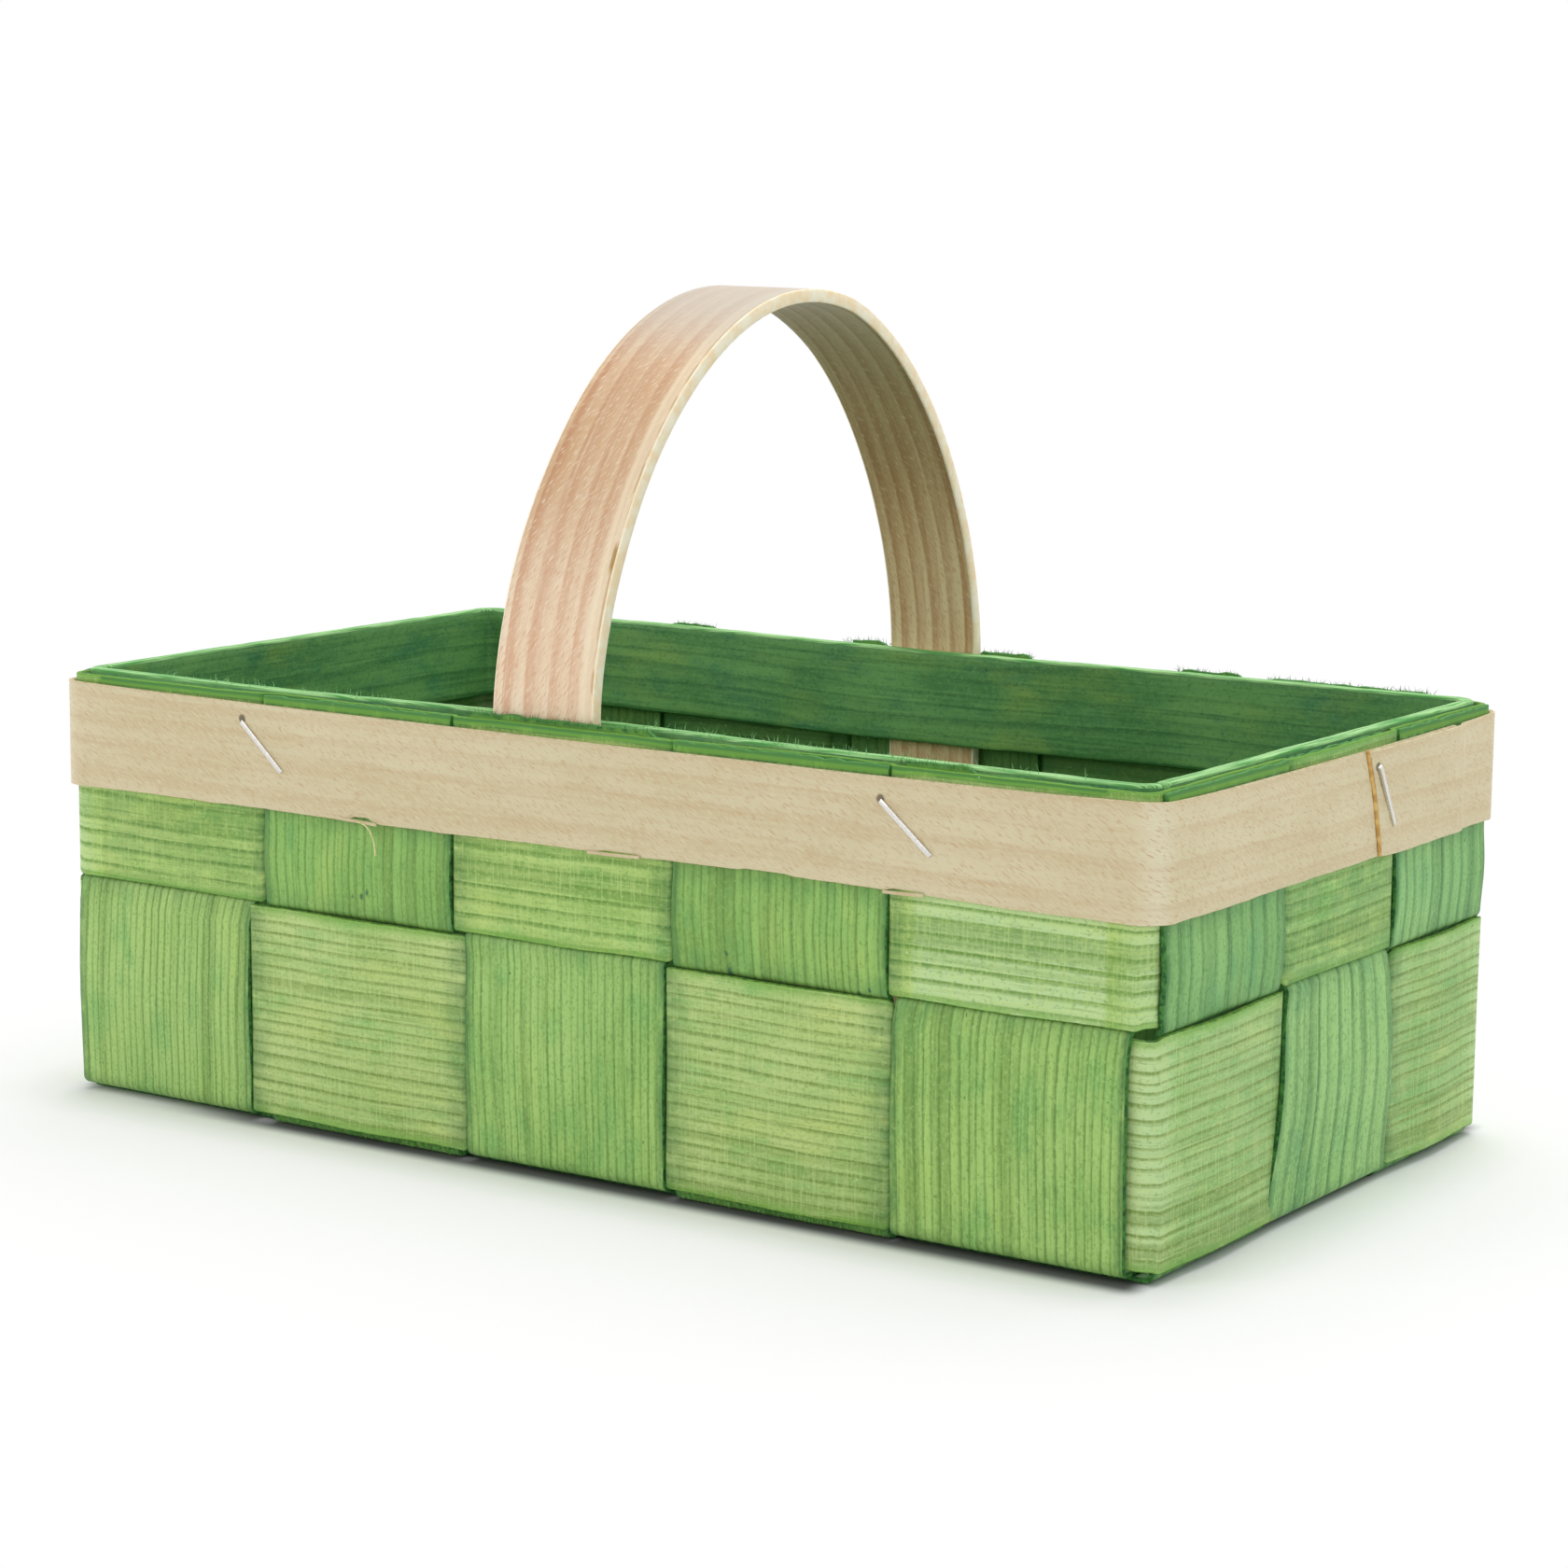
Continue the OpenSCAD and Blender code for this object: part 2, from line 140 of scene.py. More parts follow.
paper_size = 14
paper_drop = 0.0001
basket_foot = (0.1139, 0.0624, 0)
shadow_reach = 0.020
haze_reach = 0.16
bpy.ops.mesh.primitive_plane_add(size=paper_size, location=(0, 0, -paper_drop))
paper = bpy.context.object
paper.name = "paper"
white = bpy.data.materials.new("white_paper")
white.use_nodes = True
tree = white.node_tree
tree.nodes.clear()
spot = spot_on_object(tree)
side = reckon_vector(tree, "SUBTRACT", reckon_vector(tree, "ABSOLUTE", spot), basket_foot)
away = reckon_vector(tree, "LENGTH", reckon_vector(tree, "MAXIMUM", side, (0, 0, 0)))
near_white = fade(tree, away, 0.0, shadow_reach, 0.56)
clean_white = reckon(tree, "ADD", near_white, fade(tree, away, shadow_reach, haze_reach, 0.44))
shown_white = reckon(tree, "MULTIPLY", clean_white, seen_directly(tree))
# A painted contact shadow: against the foot of the long walls, where no light gets in, the paper is shown
# almost black.
# That line fades out towards both ends of the walls.
along = split(tree, spot)["X"]
left_end = fade(tree, along, -0.100, -0.060, 0.85)
deepest = reckon(tree, "MULTIPLY", left_end, fade(tree, along, 0.1145, 0.1095))
painted_contact_shadow = reckon(tree, "MULTIPLY", fade(tree, away, 0.005, -0.0005), deepest)
seen_bounce = reckon(tree, "MULTIPLY_ADD", painted_contact_shadow, -0.97, 0.97)
lit_bounce = 0.93
extra = reckon(tree, "SUBTRACT", seen_bounce, lit_bounce)
bounce = reckon(tree, "MULTIPLY_ADD", seen_directly(tree), extra, lit_bounce)
sheet = add_node(tree, "ShaderNodeBsdfDiffuse", {"Color": bounce})
lit = add_node(tree, "ShaderNodeEmission", {"Color": (1, 1, 1, 1), "Strength": 1.0})
blend = add_node(tree, "ShaderNodeMixShader", {0: shown_white, 1: sheet.outputs[0], 2: lit.outputs[0]})
add_node(tree, "ShaderNodeOutputMaterial", {"Surface": blend.outputs[0]})
paper.data.materials.append(white)
paper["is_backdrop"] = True


def soft_lamp(name, place, size, power, tint=(1, 1, 1)):
    """A square soft box that points at the basket."""
    box = bpy.data.lights.new(name, "AREA")
    box.shape = "SQUARE"
    box.size = size
    box.energy = power
    box.color = tint
    lamp = bpy.data.objects.new(name, box)
    aim = Vector((0, 0, 0.05)) - Vector(place)
    lamp.matrix_world = Matrix.Translation(place) @ aim.to_track_quat("-Z", "Y").to_matrix().to_4x4()
    scene.collection.objects.link(lamp)


soft_lamp("lamp_above", (-0.05, 0.45, 1.15), 1.2, 9.0)
soft_lamp("lamp_front", (-0.75, -1.15, 0.60), 0.9, 4.4)
soft_lamp("lamp_right", (1.25, -0.15, 0.55), 0.8, 2.35, (0.86, 0.98, 0.95))


# Five cross splints: wide chips planed from pine and dyed green.
# Each lies across the base, folds up at the floor, and weaves up both long walls.
# Only the weave holds them, and at the rim the staples through both bands.

chip = 0.0009
chip_air = 0.00012
layer = (chip + chip_air) / 2
splint_gap = 0.0019
half_gap = splint_gap / 2
weave_face = layer + chip / 2
mid_x = 0.11299
mid_y = 0.06149
fold_radius = 0.0013
wall_top = 0.0782
row_1_foot = 0.0025
row_height = 0.03685
row_1_top = row_1_foot + row_height
row_2_foot = row_1_top + 0.002
band_foot = 0.0572
cross_pitch = 0.04449
long_pitch = 0.03982
cross_width = cross_pitch - splint_gap
long_width = long_pitch - splint_gap
cross_gaps = [(k - 2.5) * cross_pitch for k in range(1, 5)]
long_gaps = [(k - 1.5) * long_pitch for k in range(1, 3)]


def arc(centre, radius, start, end, steps):
    """Points of an arc after its start, with angles in degrees."""
    points = []
    for k in range(1, steps + 1):
        turn = math.radians(start + (end - start) * k / steps)
        points.append(centre + radius * Vector((math.cos(turn), math.sin(turn))))
    return points


def step_over(start, end, steps=7):
    """Two equal arcs that carry a chip from one layer to the other."""
    run = end.x - start.x
    side = end.y - start.y
    radius = (run * run + side * side) / (4 * abs(side))
    turn = 2 * math.atan(abs(side) / run)
    way = math.copysign(1, side)
    rising = []
    for k in range(1, steps + 1):
        part = turn * k / steps
        rising.append(Vector((radius * math.sin(part), way * radius * (1 - math.cos(part)))))
    falling = [end - p for p in reversed(rising[:-1])]
    return [start + p for p in rising] + falling + [end]


def swell(start, end, height, steps=16):
    """A run that bellies out between two crossings."""
    points = []
    for k in range(1, steps + 1):
        out = height * math.sin(math.pi * k / steps) ** 2
        points.append(start.lerp(end, k / steps) + Vector((0, out)))
    return points


def half_splint(mid, gaps, sign, belly, upper_belly):
    """One half of a splint, from the middle of the base to the top of its wall."""
    points = []
    for gap in gaps:
        here = Vector((gap - half_gap, chip / 2 + (1 + sign) * layer))
        there = Vector((gap + half_gap, chip / 2 + (1 - sign) * layer))
        points += [here] + step_over(here, there)
        sign = -sign
    height = chip / 2 + (1 + sign) * layer
    heel = Vector((mid + sign * layer - fold_radius, height))
    points.append(heel)
    points += arc(heel + Vector((0, fold_radius)), fold_radius, -90, 0, 6)
    low = sign * layer
    wall = swell(Vector((height + fold_radius, low)), Vector((row_1_top, low)), belly if sign > 0 else 0)
    wall += step_over(Vector((row_1_top, low)), Vector((row_2_foot, -low)))
    wall += swell(Vector((row_2_foot, -low)), Vector((band_foot, -low)), upper_belly if sign < 0 else 0)
    wall.append(Vector((wall_top, -low)))
    return points + [Vector((mid + p.y, p.x)) for p in wall]


def whole_splint(mid, gaps, sign, belly=0.001, upper_belly=0.0004):
    """A splint from rim to rim, as one half and its mirror image."""
    half = half_splint(mid, gaps, sign, belly, upper_belly)
    return [Vector((-p.x, p.y)) for p in reversed(half)] + half


def fine_steps(points, longest):
    """The same path with its long straight runs cut into short ones."""
    fine = [points[0]]
    for point in points[1:]:
        start = fine[-1].copy()
        cuts = math.ceil((point - start).length / longest)
        if cuts < 1:
            continue
        fine += [start.lerp(point, k / cuts) for k in range(1, cuts + 1)]
    return fine


def tremble(seed, *place):
    """A smooth seeded waver between about -1 and 1."""
    x, y, z = (list(place) + [0, 0])[:3]
    return noise.noise(Vector((x + 17.3 * seed, y - 9.1 * seed, z + 4.7 * seed)))


def lay_strip(name, points, side, thick, cells, shift=None, dye_and_light=None, grain_start=0.0, edge=0.00015):
    """Lays a flat grid along a path, gives it the chip's thickness and breaks its edges.

    shift(run, across, point, out) moves a point of the strip. The other function, called with (run, across,
    point), says how much dye has gathered there, and how much painted shade and highlight lies there. The UV
    map holds metres along and across the strip.
    """
    last = len(points) - 1
    bpy.ops.mesh.primitive_grid_add(x_subdivisions=last, y_subdivisions=cells, size=1)
    strip = bpy.context.object
    strip.name = name
    strip.data.name = name
    runs = [0.0]
    for k in range(last):
        runs.append(runs[-1] + (points[k + 1] - points[k]).length)
    outs = []
    for k in range(last + 1):
        along = points[min(k + 1, last)] - points[max(k - 1, 0)]
        outs.append(along.cross(side).normalized())
    width = side.length
    places = []
    pools = []
    for vertex in strip.data.vertices:
        k = round((vertex.co.x + 0.5) * last)
        across = vertex.co.y
        point = points[k] + side * across
        if shift:
            point = point + shift(runs[k], across, point, outs[k])
        pools.append(dye_and_light(runs[k], across, point) if dye_and_light else 0.0)
        places.append((runs[k] + grain_start, across * width))
        vertex.co = point
    grain = strip.data.uv_layers.active.data
    for loop in strip.data.loops:
        grain[loop.index].uv = places[loop.vertex_index]
    pool = strip.data.attributes.new("pool", "FLOAT", "POINT")
    pool.data.foreach_set("value", pools)
    for _ in range(3):
        strip.data.materials.append(None)
    body = strip.modifiers.new("body", "SOLIDIFY")
    body.thickness = thick
    body.offset = 0
    body.use_even_offset = True
    body.material_offset_rim = 1
    body.material_offset = 2
    broken = strip.modifiers.new("broken_edge", "BEVEL")
    broken.width = edge
    broken.segments = 2
    broken.limit_method = "ANGLE"
    broken.angle_limit = math.radians(60)
    broken.material = 1
    bpy.ops.object.modifier_apply(modifier="body")
    bpy.ops.object.modifier_apply(modifier="broken_edge")
    bpy.ops.object.shade_smooth_by_angle(angle=math.radians(42))
    strip.select_set(False)
    return strip


def dress(strip, outside, edge, inside, node):
    """Gives a strip the finishes of its outside, edges and inside, and puts it in its node's place."""
    for number, finish in enumerate((outside, edge, inside)):
        strip.data.materials[number] = finish
    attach(strip, "root")
    if node:
        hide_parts(node)


def new_group(name, inputs, outputs):
    """A shader node group with named inputs and outputs, and the sockets inside it."""
    group = bpy.data.node_groups.new(name, "ShaderNodeTree")
    for key, kind, value in inputs:
        socket = group.interface.new_socket(key, in_out="INPUT", socket_type=kind)
        if value is not None:
            socket.default_value = value
    for key, kind in outputs:
        group.interface.new_socket(key, in_out="OUTPUT", socket_type=kind)
    return group, group.nodes.new("NodeGroupInput").outputs, group.nodes.new("NodeGroupOutput").inputs


def stretched(tree, u, v, seed, along, over):
    """A place on the strip, scaled along and across it."""
    inputs = {"X": reckon(tree, "MULTIPLY", u, along), "Y": reckon(tree, "MULTIPLY", v, over), "Z": seed}
    return add_node(tree, "ShaderNodeCombineXYZ", inputs).outputs[0]


def cloud(tree, place, detail=2.0, rough=0.5, scale=1.0):
    """Soft noise, about 0.5 on average."""
    inputs = {"Vector": place, "Scale": scale, "Detail": detail, "Roughness": rough}
    return add_node(tree, "ShaderNodeTexNoise", inputs).outputs["Fac"]


# Growth rings: dark lines of late wood that wander along the strip, and the fine fibres between them.
rings, asked, given = new_group(
    "growth_rings",
    [
        ("Place", "NodeSocketVector", None),
        ("Pitch", "NodeSocketFloat", 0.0025),
        ("Wander", "NodeSocketFloat", 0.001),
        ("Uneven", "NodeSocketFloat", 0.5),
        ("Start", "NodeSocketFloat", 0.6),
        ("Seed", "NodeSocketFloat", 1.0),
    ],
    [
        ("Line", "NodeSocketFloat"),
        ("Stripe", "NodeSocketFloat"),
        ("Tone", "NodeSocketFloat"),
        ("Fibre", "NodeSocketFloat"),
        ("Fleck", "NodeSocketFloat"),
    ],
)
place = split(rings, asked["Place"])
u, v, seed = place["X"], place["Y"], asked["Seed"]
slow = reckon(rings, "SUBTRACT", cloud(rings, stretched(rings, u, v, seed, 13.0, 9.0)), 0.5)
quick = reckon(rings, "SUBTRACT", cloud(rings, stretched(rings, u, v, seed, 85.0, 60.0), 1.0), 0.5)
wander = reckon(rings, "MULTIPLY", reckon(rings, "MULTIPLY_ADD", quick, 0.07, slow), asked["Wander"])
bunched_v = reckon(rings, "MULTIPLY", v, reckon(rings, "DIVIDE", 0.3, asked["Pitch"]))
bunching = reckon(rings, "SUBTRACT", cloud(rings, stretched(rings, u, bunched_v, seed, 4.0, 1.0), 1.0), 0.5)
uneven = reckon(rings, "MULTIPLY", reckon(rings, "MULTIPLY", bunching, asked["Uneven"]), 5.0)
settled = reckon(rings, "ADD", v, wander)
turns = reckon(rings, "ADD", reckon(rings, "DIVIDE", settled, asked["Pitch"]), uneven)
part = reckon(rings, "FRACT", turns)
rise = fade(rings, part, asked["Start"], 0.88)
fall = reckon(rings, "SUBTRACT", 1.0, fade(rings, part, 0.90, 1.0))
ring_seed = reckon(rings, "MULTIPLY_ADD", seed, 7.31, reckon(rings, "FLOOR", turns))
tone = add_node(rings, "ShaderNodeTexWhiteNoise", {"W": ring_seed}, noise_dimensions="1D").outputs["Value"]
broken = fade(rings, cloud(rings, stretched(rings, u, v, seed, 55.0, 420.0), 2.0), 0.12, 0.36)
strength = reckon(rings, "MULTIPLY", reckon(rings, "MULTIPLY_ADD", tone, 0.4, 0.6), broken)
broad = cloud(rings, stretched(rings, u, settled, seed, 3.0, 230.0), 1.0)
fill(rings, given, {
    "Line": reckon(rings, "MULTIPLY", reckon(rings, "MULTIPLY", rise, fall), strength),
    "Stripe": fade(rings, broad, 0.55, 0.68),
    "Tone": tone,
    "Fibre": cloud(rings, stretched(rings, u, v, seed, 60.0, 2100.0), 4.0, 0.62),
    "Fleck": cloud(rings, stretched(rings, u, v, seed, 1500.0, 1900.0), 3.0, 0.65),
})

# Dye marks: slow clouds of dye, dark pools where it ran together and where shade is painted, and pale and
# dark specks.
marks, asked, given = new_group(
    "dye_marks",
    [
        ("Place", "NodeSocketVector", None),
        ("Half Width", "NodeSocketFloat", 0.02),
        ("Edge", "NodeSocketFloat", 0.0012),
        ("Pool", "NodeSocketFloat", 0.0),
        ("Seed", "NodeSocketFloat", 1.0),
    ],
    [
        ("Cloud", "NodeSocketFloat"),
        ("Green", "NodeSocketFloat"),
        ("Sun", "NodeSocketFloat"),
        ("Ray", "NodeSocketFloat"),
        ("Rim", "NodeSocketFloat"),
        ("Pool", "NodeSocketFloat"),
        ("Pale", "NodeSocketFloat"),
        ("Dark", "NodeSocketFloat"),
    ],
)
place = split(marks, asked["Place"])
u, v, seed = place["X"], place["Y"], asked["Seed"]
tints = {
    "Cloud": (stretched(marks, u, v, seed, 34.0, 60.0), 4.0, 0.34, 0.68),
    "Green": (stretched(marks, v, u, seed, 150.0, 75.0), 4.0, 0.48, 0.70),
    "Sun": (stretched(marks, v, u, seed, 95.0, 42.0), 3.0, 0.50, 0.72),
    "Ray": (stretched(marks, u, v, seed, 2300.0, 110.0), 3.0, 0.48, 0.66),
}
for key, (spot, detail, start, full) in tints.items():
    marks.links.new(fade(marks, cloud(marks, spot, detail, 0.6), start, full), given[key])
patchy = cloud(marks, stretched(marks, u, v, seed, 170.0, 300.0), 3.0, 0.65)
inner = reckon(marks, "SUBTRACT", asked["Half Width"], asked["Edge"])
edge_mask = fade(marks, reckon(marks, "ABSOLUTE", v), inner, asked["Half Width"])
pooled = reckon(marks, "MULTIPLY", asked["Pool"], fade(marks, patchy, 0.25, 0.60))
pale_speck = cloud(marks, stretched(marks, u, v, seed, 700.0, 1300.0), 1.0)
dark_speck = cloud(marks, stretched(marks, v, u, seed, 900.0, 600.0), 1.0)
fill(marks, given, {
    "Rim": reckon(marks, "MULTIPLY", edge_mask, fade(marks, patchy, 0.25, 0.55)),
    "Pool": reckon(marks, "MAXIMUM", pooled, fade(marks, patchy, 0.62, 0.80, 0.5)),
    "Pale": fade(marks, pale_speck, 0.76, 0.82),
    "Dark": fade(marks, dark_speck, 0.77, 0.83),
})


def shade(red, green, blue):
    """A colour as its 0 to 255 values are read off a picture."""
    values = []
    for value in (red, green, blue):
        value = value / 255
        values.append(value / 12.92 if value <= 0.04045 else ((value + 0.055) / 1.055) ** 2.4)
    return (*values, 1)


def mixed(tree, amount, first, second, how="MIX"):
    inputs = {0: amount, 6: first, 7: second}
    return add_node(tree, "ShaderNodeMix", inputs, data_type="RGBA", blend_type=how).outputs[2]


def put_group(tree, group, **inputs):
    made = add_node(tree, "ShaderNodeGroup", node_tree=group)
    fill(tree, made.inputs, {key.replace("_", " "): value for key, value in inputs.items()})
    return made.outputs


def new_finish(name):
    """A new material, its nodes and the inputs of its surface."""
    finish = bpy.data.materials.new(name)
    finish.use_nodes = True
    return finish, finish.node_tree, finish.node_tree.nodes["Principled BSDF"].inputs


def coat(tree, surface, colour, roughness, gloss, relief, strength, depth):
    """Gives a surface its colour and shine, and the relief of its grain."""
    bump = add_node(tree, "ShaderNodeBump", {"Strength": strength, "Distance": depth, "Height": relief})
    values = {"Base Color": colour, "Roughness": roughness, "Specular IOR Level": gloss}
    fill(tree, surface, {**values, "Normal": bump.outputs[0]})


def dyed_chip(
    name, colours, width, pitch, wander, uneven, seed, lines=0.6, rim=None, edge=0.0007, rays=0.0, specks=0.4
):
    """Dyed pine: clouds of dye, ring lines, fine fibres, and dye gathered at the edges.

    The strip's pool attribute says how much dye gathered, and also where shade and highlight are painted.
    Below 0 the chip is painted pale, a painted highlight. Above 1 it is the yellow-green of a weaver's top
    edge, and above 3 the dark green of the cut rim.
    """
    pale, deep, line, green, sun = colours
    finish, tree, surface = new_finish(name)
    grain = add_node(tree, "ShaderNodeUVMap").outputs[0]
    gathered = add_node(tree, "ShaderNodeAttribute", attribute_name="pool").outputs["Fac"]
    ring = put_group(
        tree, rings, Place=grain, Pitch=pitch, Wander=wander, Uneven=uneven, Start=0.52, Seed=seed
    )
    mark = put_group(
        tree, marks, Place=grain, Half_Width=width / 2, Edge=edge, Pool=gathered, Seed=seed + 2.7
    )
    right_wall = split(tree, spot_on_object(tree))["X"]
    # On the right wall the weavers turn bluer: partly their dye, and partly a painted sheen.
    right_wall_dye_and_sheen = 0.35 if rim else 0.0
    layers = [
        (fade(tree, right_wall, 0.1112, 0.1132, right_wall_dye_and_sheen), shade(110, 192, 130)),
        (reckon(tree, "MULTIPLY", mark["Green"], 0.65), green),
        (reckon(tree, "MULTIPLY", mark["Sun"], 0.6), sun),
        (reckon(tree, "MULTIPLY", ring["Tone"], 0.32), deep),
        # Painted highlight: where the pool attribute is below 0 the chip turns pale.
        (fade(tree, gathered, 0.0, -1.0, 0.8), shade(200, 226, 168)),
        (reckon(tree, "MULTIPLY", ring["Stripe"], lines * 0.55), line),
        (reckon(tree, "MULTIPLY", ring["Line"], lines), line),
        (fade(tree, ring["Fibre"], 0.50, 0.68, 0.45), pale),
        (fade(tree, ring["Fibre"], 0.48, 0.30, 0.45), line),
        (fade(tree, ring["Fleck"], 0.52, 0.70, 0.5), pale),
        (fade(tree, ring["Fleck"], 0.48, 0.30, 0.5), line),
        (reckon(tree, "MULTIPLY", mark["Ray"], rays), pale),
        (reckon(tree, "MULTIPLY", mark["Rim"], 0.6), rim or chip_pool),
        # Dark pools where the pool attribute is high: gathered dye, and painted shade on the splints at the
        # floor, between the weavers and under the rim band.
        (reckon(tree, "MULTIPLY", mark["Pool"], 0.62), chip_pool),
        (fade(tree, gathered, 1.1, 1.6, 0.75), shade(114, 172, 58)),
        (fade(tree, gathered, 2.8, 4.2, 0.85), shade(60, 122, 54)),
        (reckon(tree, "MULTIPLY", mark["Dark"], 0.7), chip_pool),
        (reckon(tree, "MULTIPLY", mark["Pale"], specks), shade(214, 232, 190)),
    ]
    colour = mixed(tree, mark["Cloud"], pale, deep)
    for amount, tint in layers:
        colour = mixed(tree, amount, colour, tint)
    roughness = reckon(tree, "MULTIPLY_ADD", ring["Fibre"], 0.25, 0.42)
    relief = reckon(tree, "MULTIPLY_ADD", ring["Line"], 0.12, ring["Fibre"])
    coat(tree, surface, colour, roughness, 0.35, relief, 0.35, 0.00006)
    return finish


def cut_edge(name, first, second, seed, across=900.0, relief=0.8, rim=None):
    """The sawn or torn edge of a chip, with short streaks, and a painted highlight in another colour along
    the basket's rim.
    """
    finish, tree, surface = new_finish(name)
    spot = spot_on_object(tree)
    place = add_node(tree, "ShaderNodeMapping", {"Vector": spot, "Location": (seed, 0, 0)}).outputs[0]
    streak = cloud(tree, place, 3.0, 0.7, across)
    colour = mixed(tree, fade(tree, streak, 0.35, 0.65), first, second)
    if rim:
        # Painted highlight: near the top of the walls the edge takes the lighter rim colour.
        rim_highlight = fade(tree, split(tree, spot)["Z"], wall_top - 0.0016, wall_top - 0.0006, 0.8)
        colour = mixed(tree, rim_highlight, colour, rim)
    coat(tree, surface, colour, 0.75, 0.25, streak, relief, 0.0002)
    return finish


chip_line = shade(96, 132, 54)
chip_pool = shade(36, 98, 50)
chip_green = shade(112, 178, 98)
chip_sun = shade(182, 212, 112)
# The chips' rim colour is a painted highlight along the top of the walls.
chip_edge = cut_edge("chip_cut_edge", shade(34, 84, 42), shade(78, 138, 64), 1.3, rim=shade(84, 146, 74))


def near(value, place, reach):
    """1 at a place and 0 further than reach from it."""
    return max(0.0, 1.0 - abs(value - place) / reach)


def clamped(value):
    """A value kept between 0 and 1."""
    return min(1.0, max(0.0, value))


row_change = 0.036
row_ease = 0.008


def wall_slide(splint_edges, point, across):
    """How far a splint's two edges were pushed along the wall, in its lower and in its upper row."""
    low_row, high_row = splint_edges
    row = clamped((point.z - row_change) / row_ease)
    slides = [low_row[k] * (1 - row) + high_row[k] * row for k in (0, 1)]
    return slides[0] * (0.5 - across) + slides[1] * (0.5 + across)


def between(value, low, high, soft=0.0006):
    """1 between low and high, with soft ends."""
    return clamped(min(value - low, high - value) / soft)


torn_depth = 0.0009
standing_height = 0.0010
floor_ease = 0.004


def torn_end(seed, place, standing):
    """The torn upper end of a splint, as a change of its height: it stands up where standing says."""
    rough = 0.00030 * tremble(seed, place * 900) + 0.00022 * tremble(seed + 5, place * 3000)
    stood = max([0.0] + [between(place, low, high) for low, high in standing])
    return rough - 0.0001 + standing_height * stood


def splint_waver(slow_seed, quick_seed, run, across):
    """The wavy long edges that the plane left."""
    slow = 0.00014 * tremble(slow_seed, run * 70, across)
    return 2 * across * (slow + 0.00006 * tremble(quick_seed, run * 420))


def splint_rough(seed, run, across, point):
    """The uneven face of a chip, which lies flat where it touches the floor."""
    return 0.00005 * tremble(seed, run * 45, across * 3) * min(1.0, point.z / floor_ease)


# How far each upright's left and right edges are off their places, in its lower and in its upper row.
straight = ((0.0, 0.0), (0.0, 0.0))
front_edges = {
    1: ((-0.0012, -0.0023), (0.0, 0.0)),
    2: ((0.0, 0.0), (-0.0003, -0.0006)),
    3: ((0.0008, 0.0003), (0.0, 0.0)),
    4: ((0.0, 0.0), (-0.0002, -0.0006)),
    5: ((-0.0013, -0.0009), (0.0, 0.0)),
}
# Where the torn ends of the uprights stand up above the rim.
standing_back = ((-0.0661, -0.0546), (-0.0232, -0.0130), (0.0071, 0.0195), (0.0500, 0.0640), (0.0690, 0.1020))
standing_front = ((-0.0205, 0.0180), (0.0660, 0.0800))


cross_push_start = 0.030
long_push_start = 0.080
push_ease = 0.028


def cross_shift(number):
    """The hand-made part of a cross splint: a push, wavy edges and a torn top end."""

    def shift(run, across, point, out):
        side = 1 if point.y > 0 else -1
        edges = front_edges[number] if side < 0 else straight
        slide = wall_slide(edges, point, across) * clamped((abs(point.y) - cross_push_start) / push_ease)
        slide += splint_waver(number, number + 40, run, across)
        move = Vector((slide, 0, 0)) + out * splint_rough(number + 7, run, across, point)
        if point.z > wall_top - torn_depth:
            move.z += torn_end(number + 20 * side, point.x, standing_back if side > 0 else standing_front)
        return move

    return shift


row_seam = 0.0403
rim_soak = 6.0
soak_reach = 0.0022


def splint_dye_and_shade(run, across, point):
    """Darker at the floor, between the weavers and under the rim band, with gathered dye and painted shade;
    dye gathered in the cut end.
    """
    # At the floor, between the rows and under the band the darkening is partly painted shade.
    between_rows = 0.5 * near(point.z, row_seam, 0.0040)
    at_floor = 0.8 * near(point.z, 0.0010, 0.0030)
    under_band = 0.5 * near(point.z, band_foot, 0.0030)
    cut_end = rim_soak * near(point.z, wall_top + 0.0002, soak_reach)
    return max(between_rows, at_floor, under_band, cut_end)


# The inside faces of the chips are a darker copy of the dyed chip: darker dye, and painted shade.
chip_inside_shaded_colours = (
    shade(112, 158, 84), shade(88, 136, 66), shade(60, 104, 44), shade(70, 136, 78), shade(128, 164, 80)
)
chip_inside_shaded = dyed_chip("dyed_chip_inside_shaded", chip_inside_shaded_colours, 0.05, pitch=0.0022, wander=0.003, uneven=0.3, seed=7.4)

# The drips on the second and the fourth upright: where along the wall, how high, and how big.
front_face_y = -0.0625
front_drips = {
    2: ((-0.0438, 0.0443, 0.0005), (-0.0424, 0.0452, 0.0005), (-0.0458, 0.0440, 0.0004)),
    4: (
        (0.0341, 0.0437, 0.0005),
        (0.0348, 0.0408, 0.0009),
        (0.0599, 0.0402, 0.0007),
        (0.0620, 0.0412, 0.0005),
    ),
}


def dripped(finish, drips):
    """Dark drips of dye that dried low on the front of a splint."""
    tree = finish.node_tree
    base = tree.nodes["Principled BSDF"].inputs["Base Color"]
    colour = base.links[0].from_socket
    spot = spot_on_object(tree)
    ragged = cloud(tree, spot, 3.0, scale=1400.0)
    squash = Vector((1.0, 0.2, 0.6))
    flat = reckon_vector(tree, "MULTIPLY", spot, squash)
    for along, height, size in drips:
        middle = squash * Vector((along, front_face_y, height))
        off = reckon(tree, "MULTIPLY_ADD", ragged, 2.0 * size, reckon_vector(tree, "DISTANCE", flat, middle))
        colour = mixed(tree, fade(tree, off, 2.0 * size, 1.1 * size, 0.8), colour, shade(30, 88, 66))
    tree.links.new(colour, base)


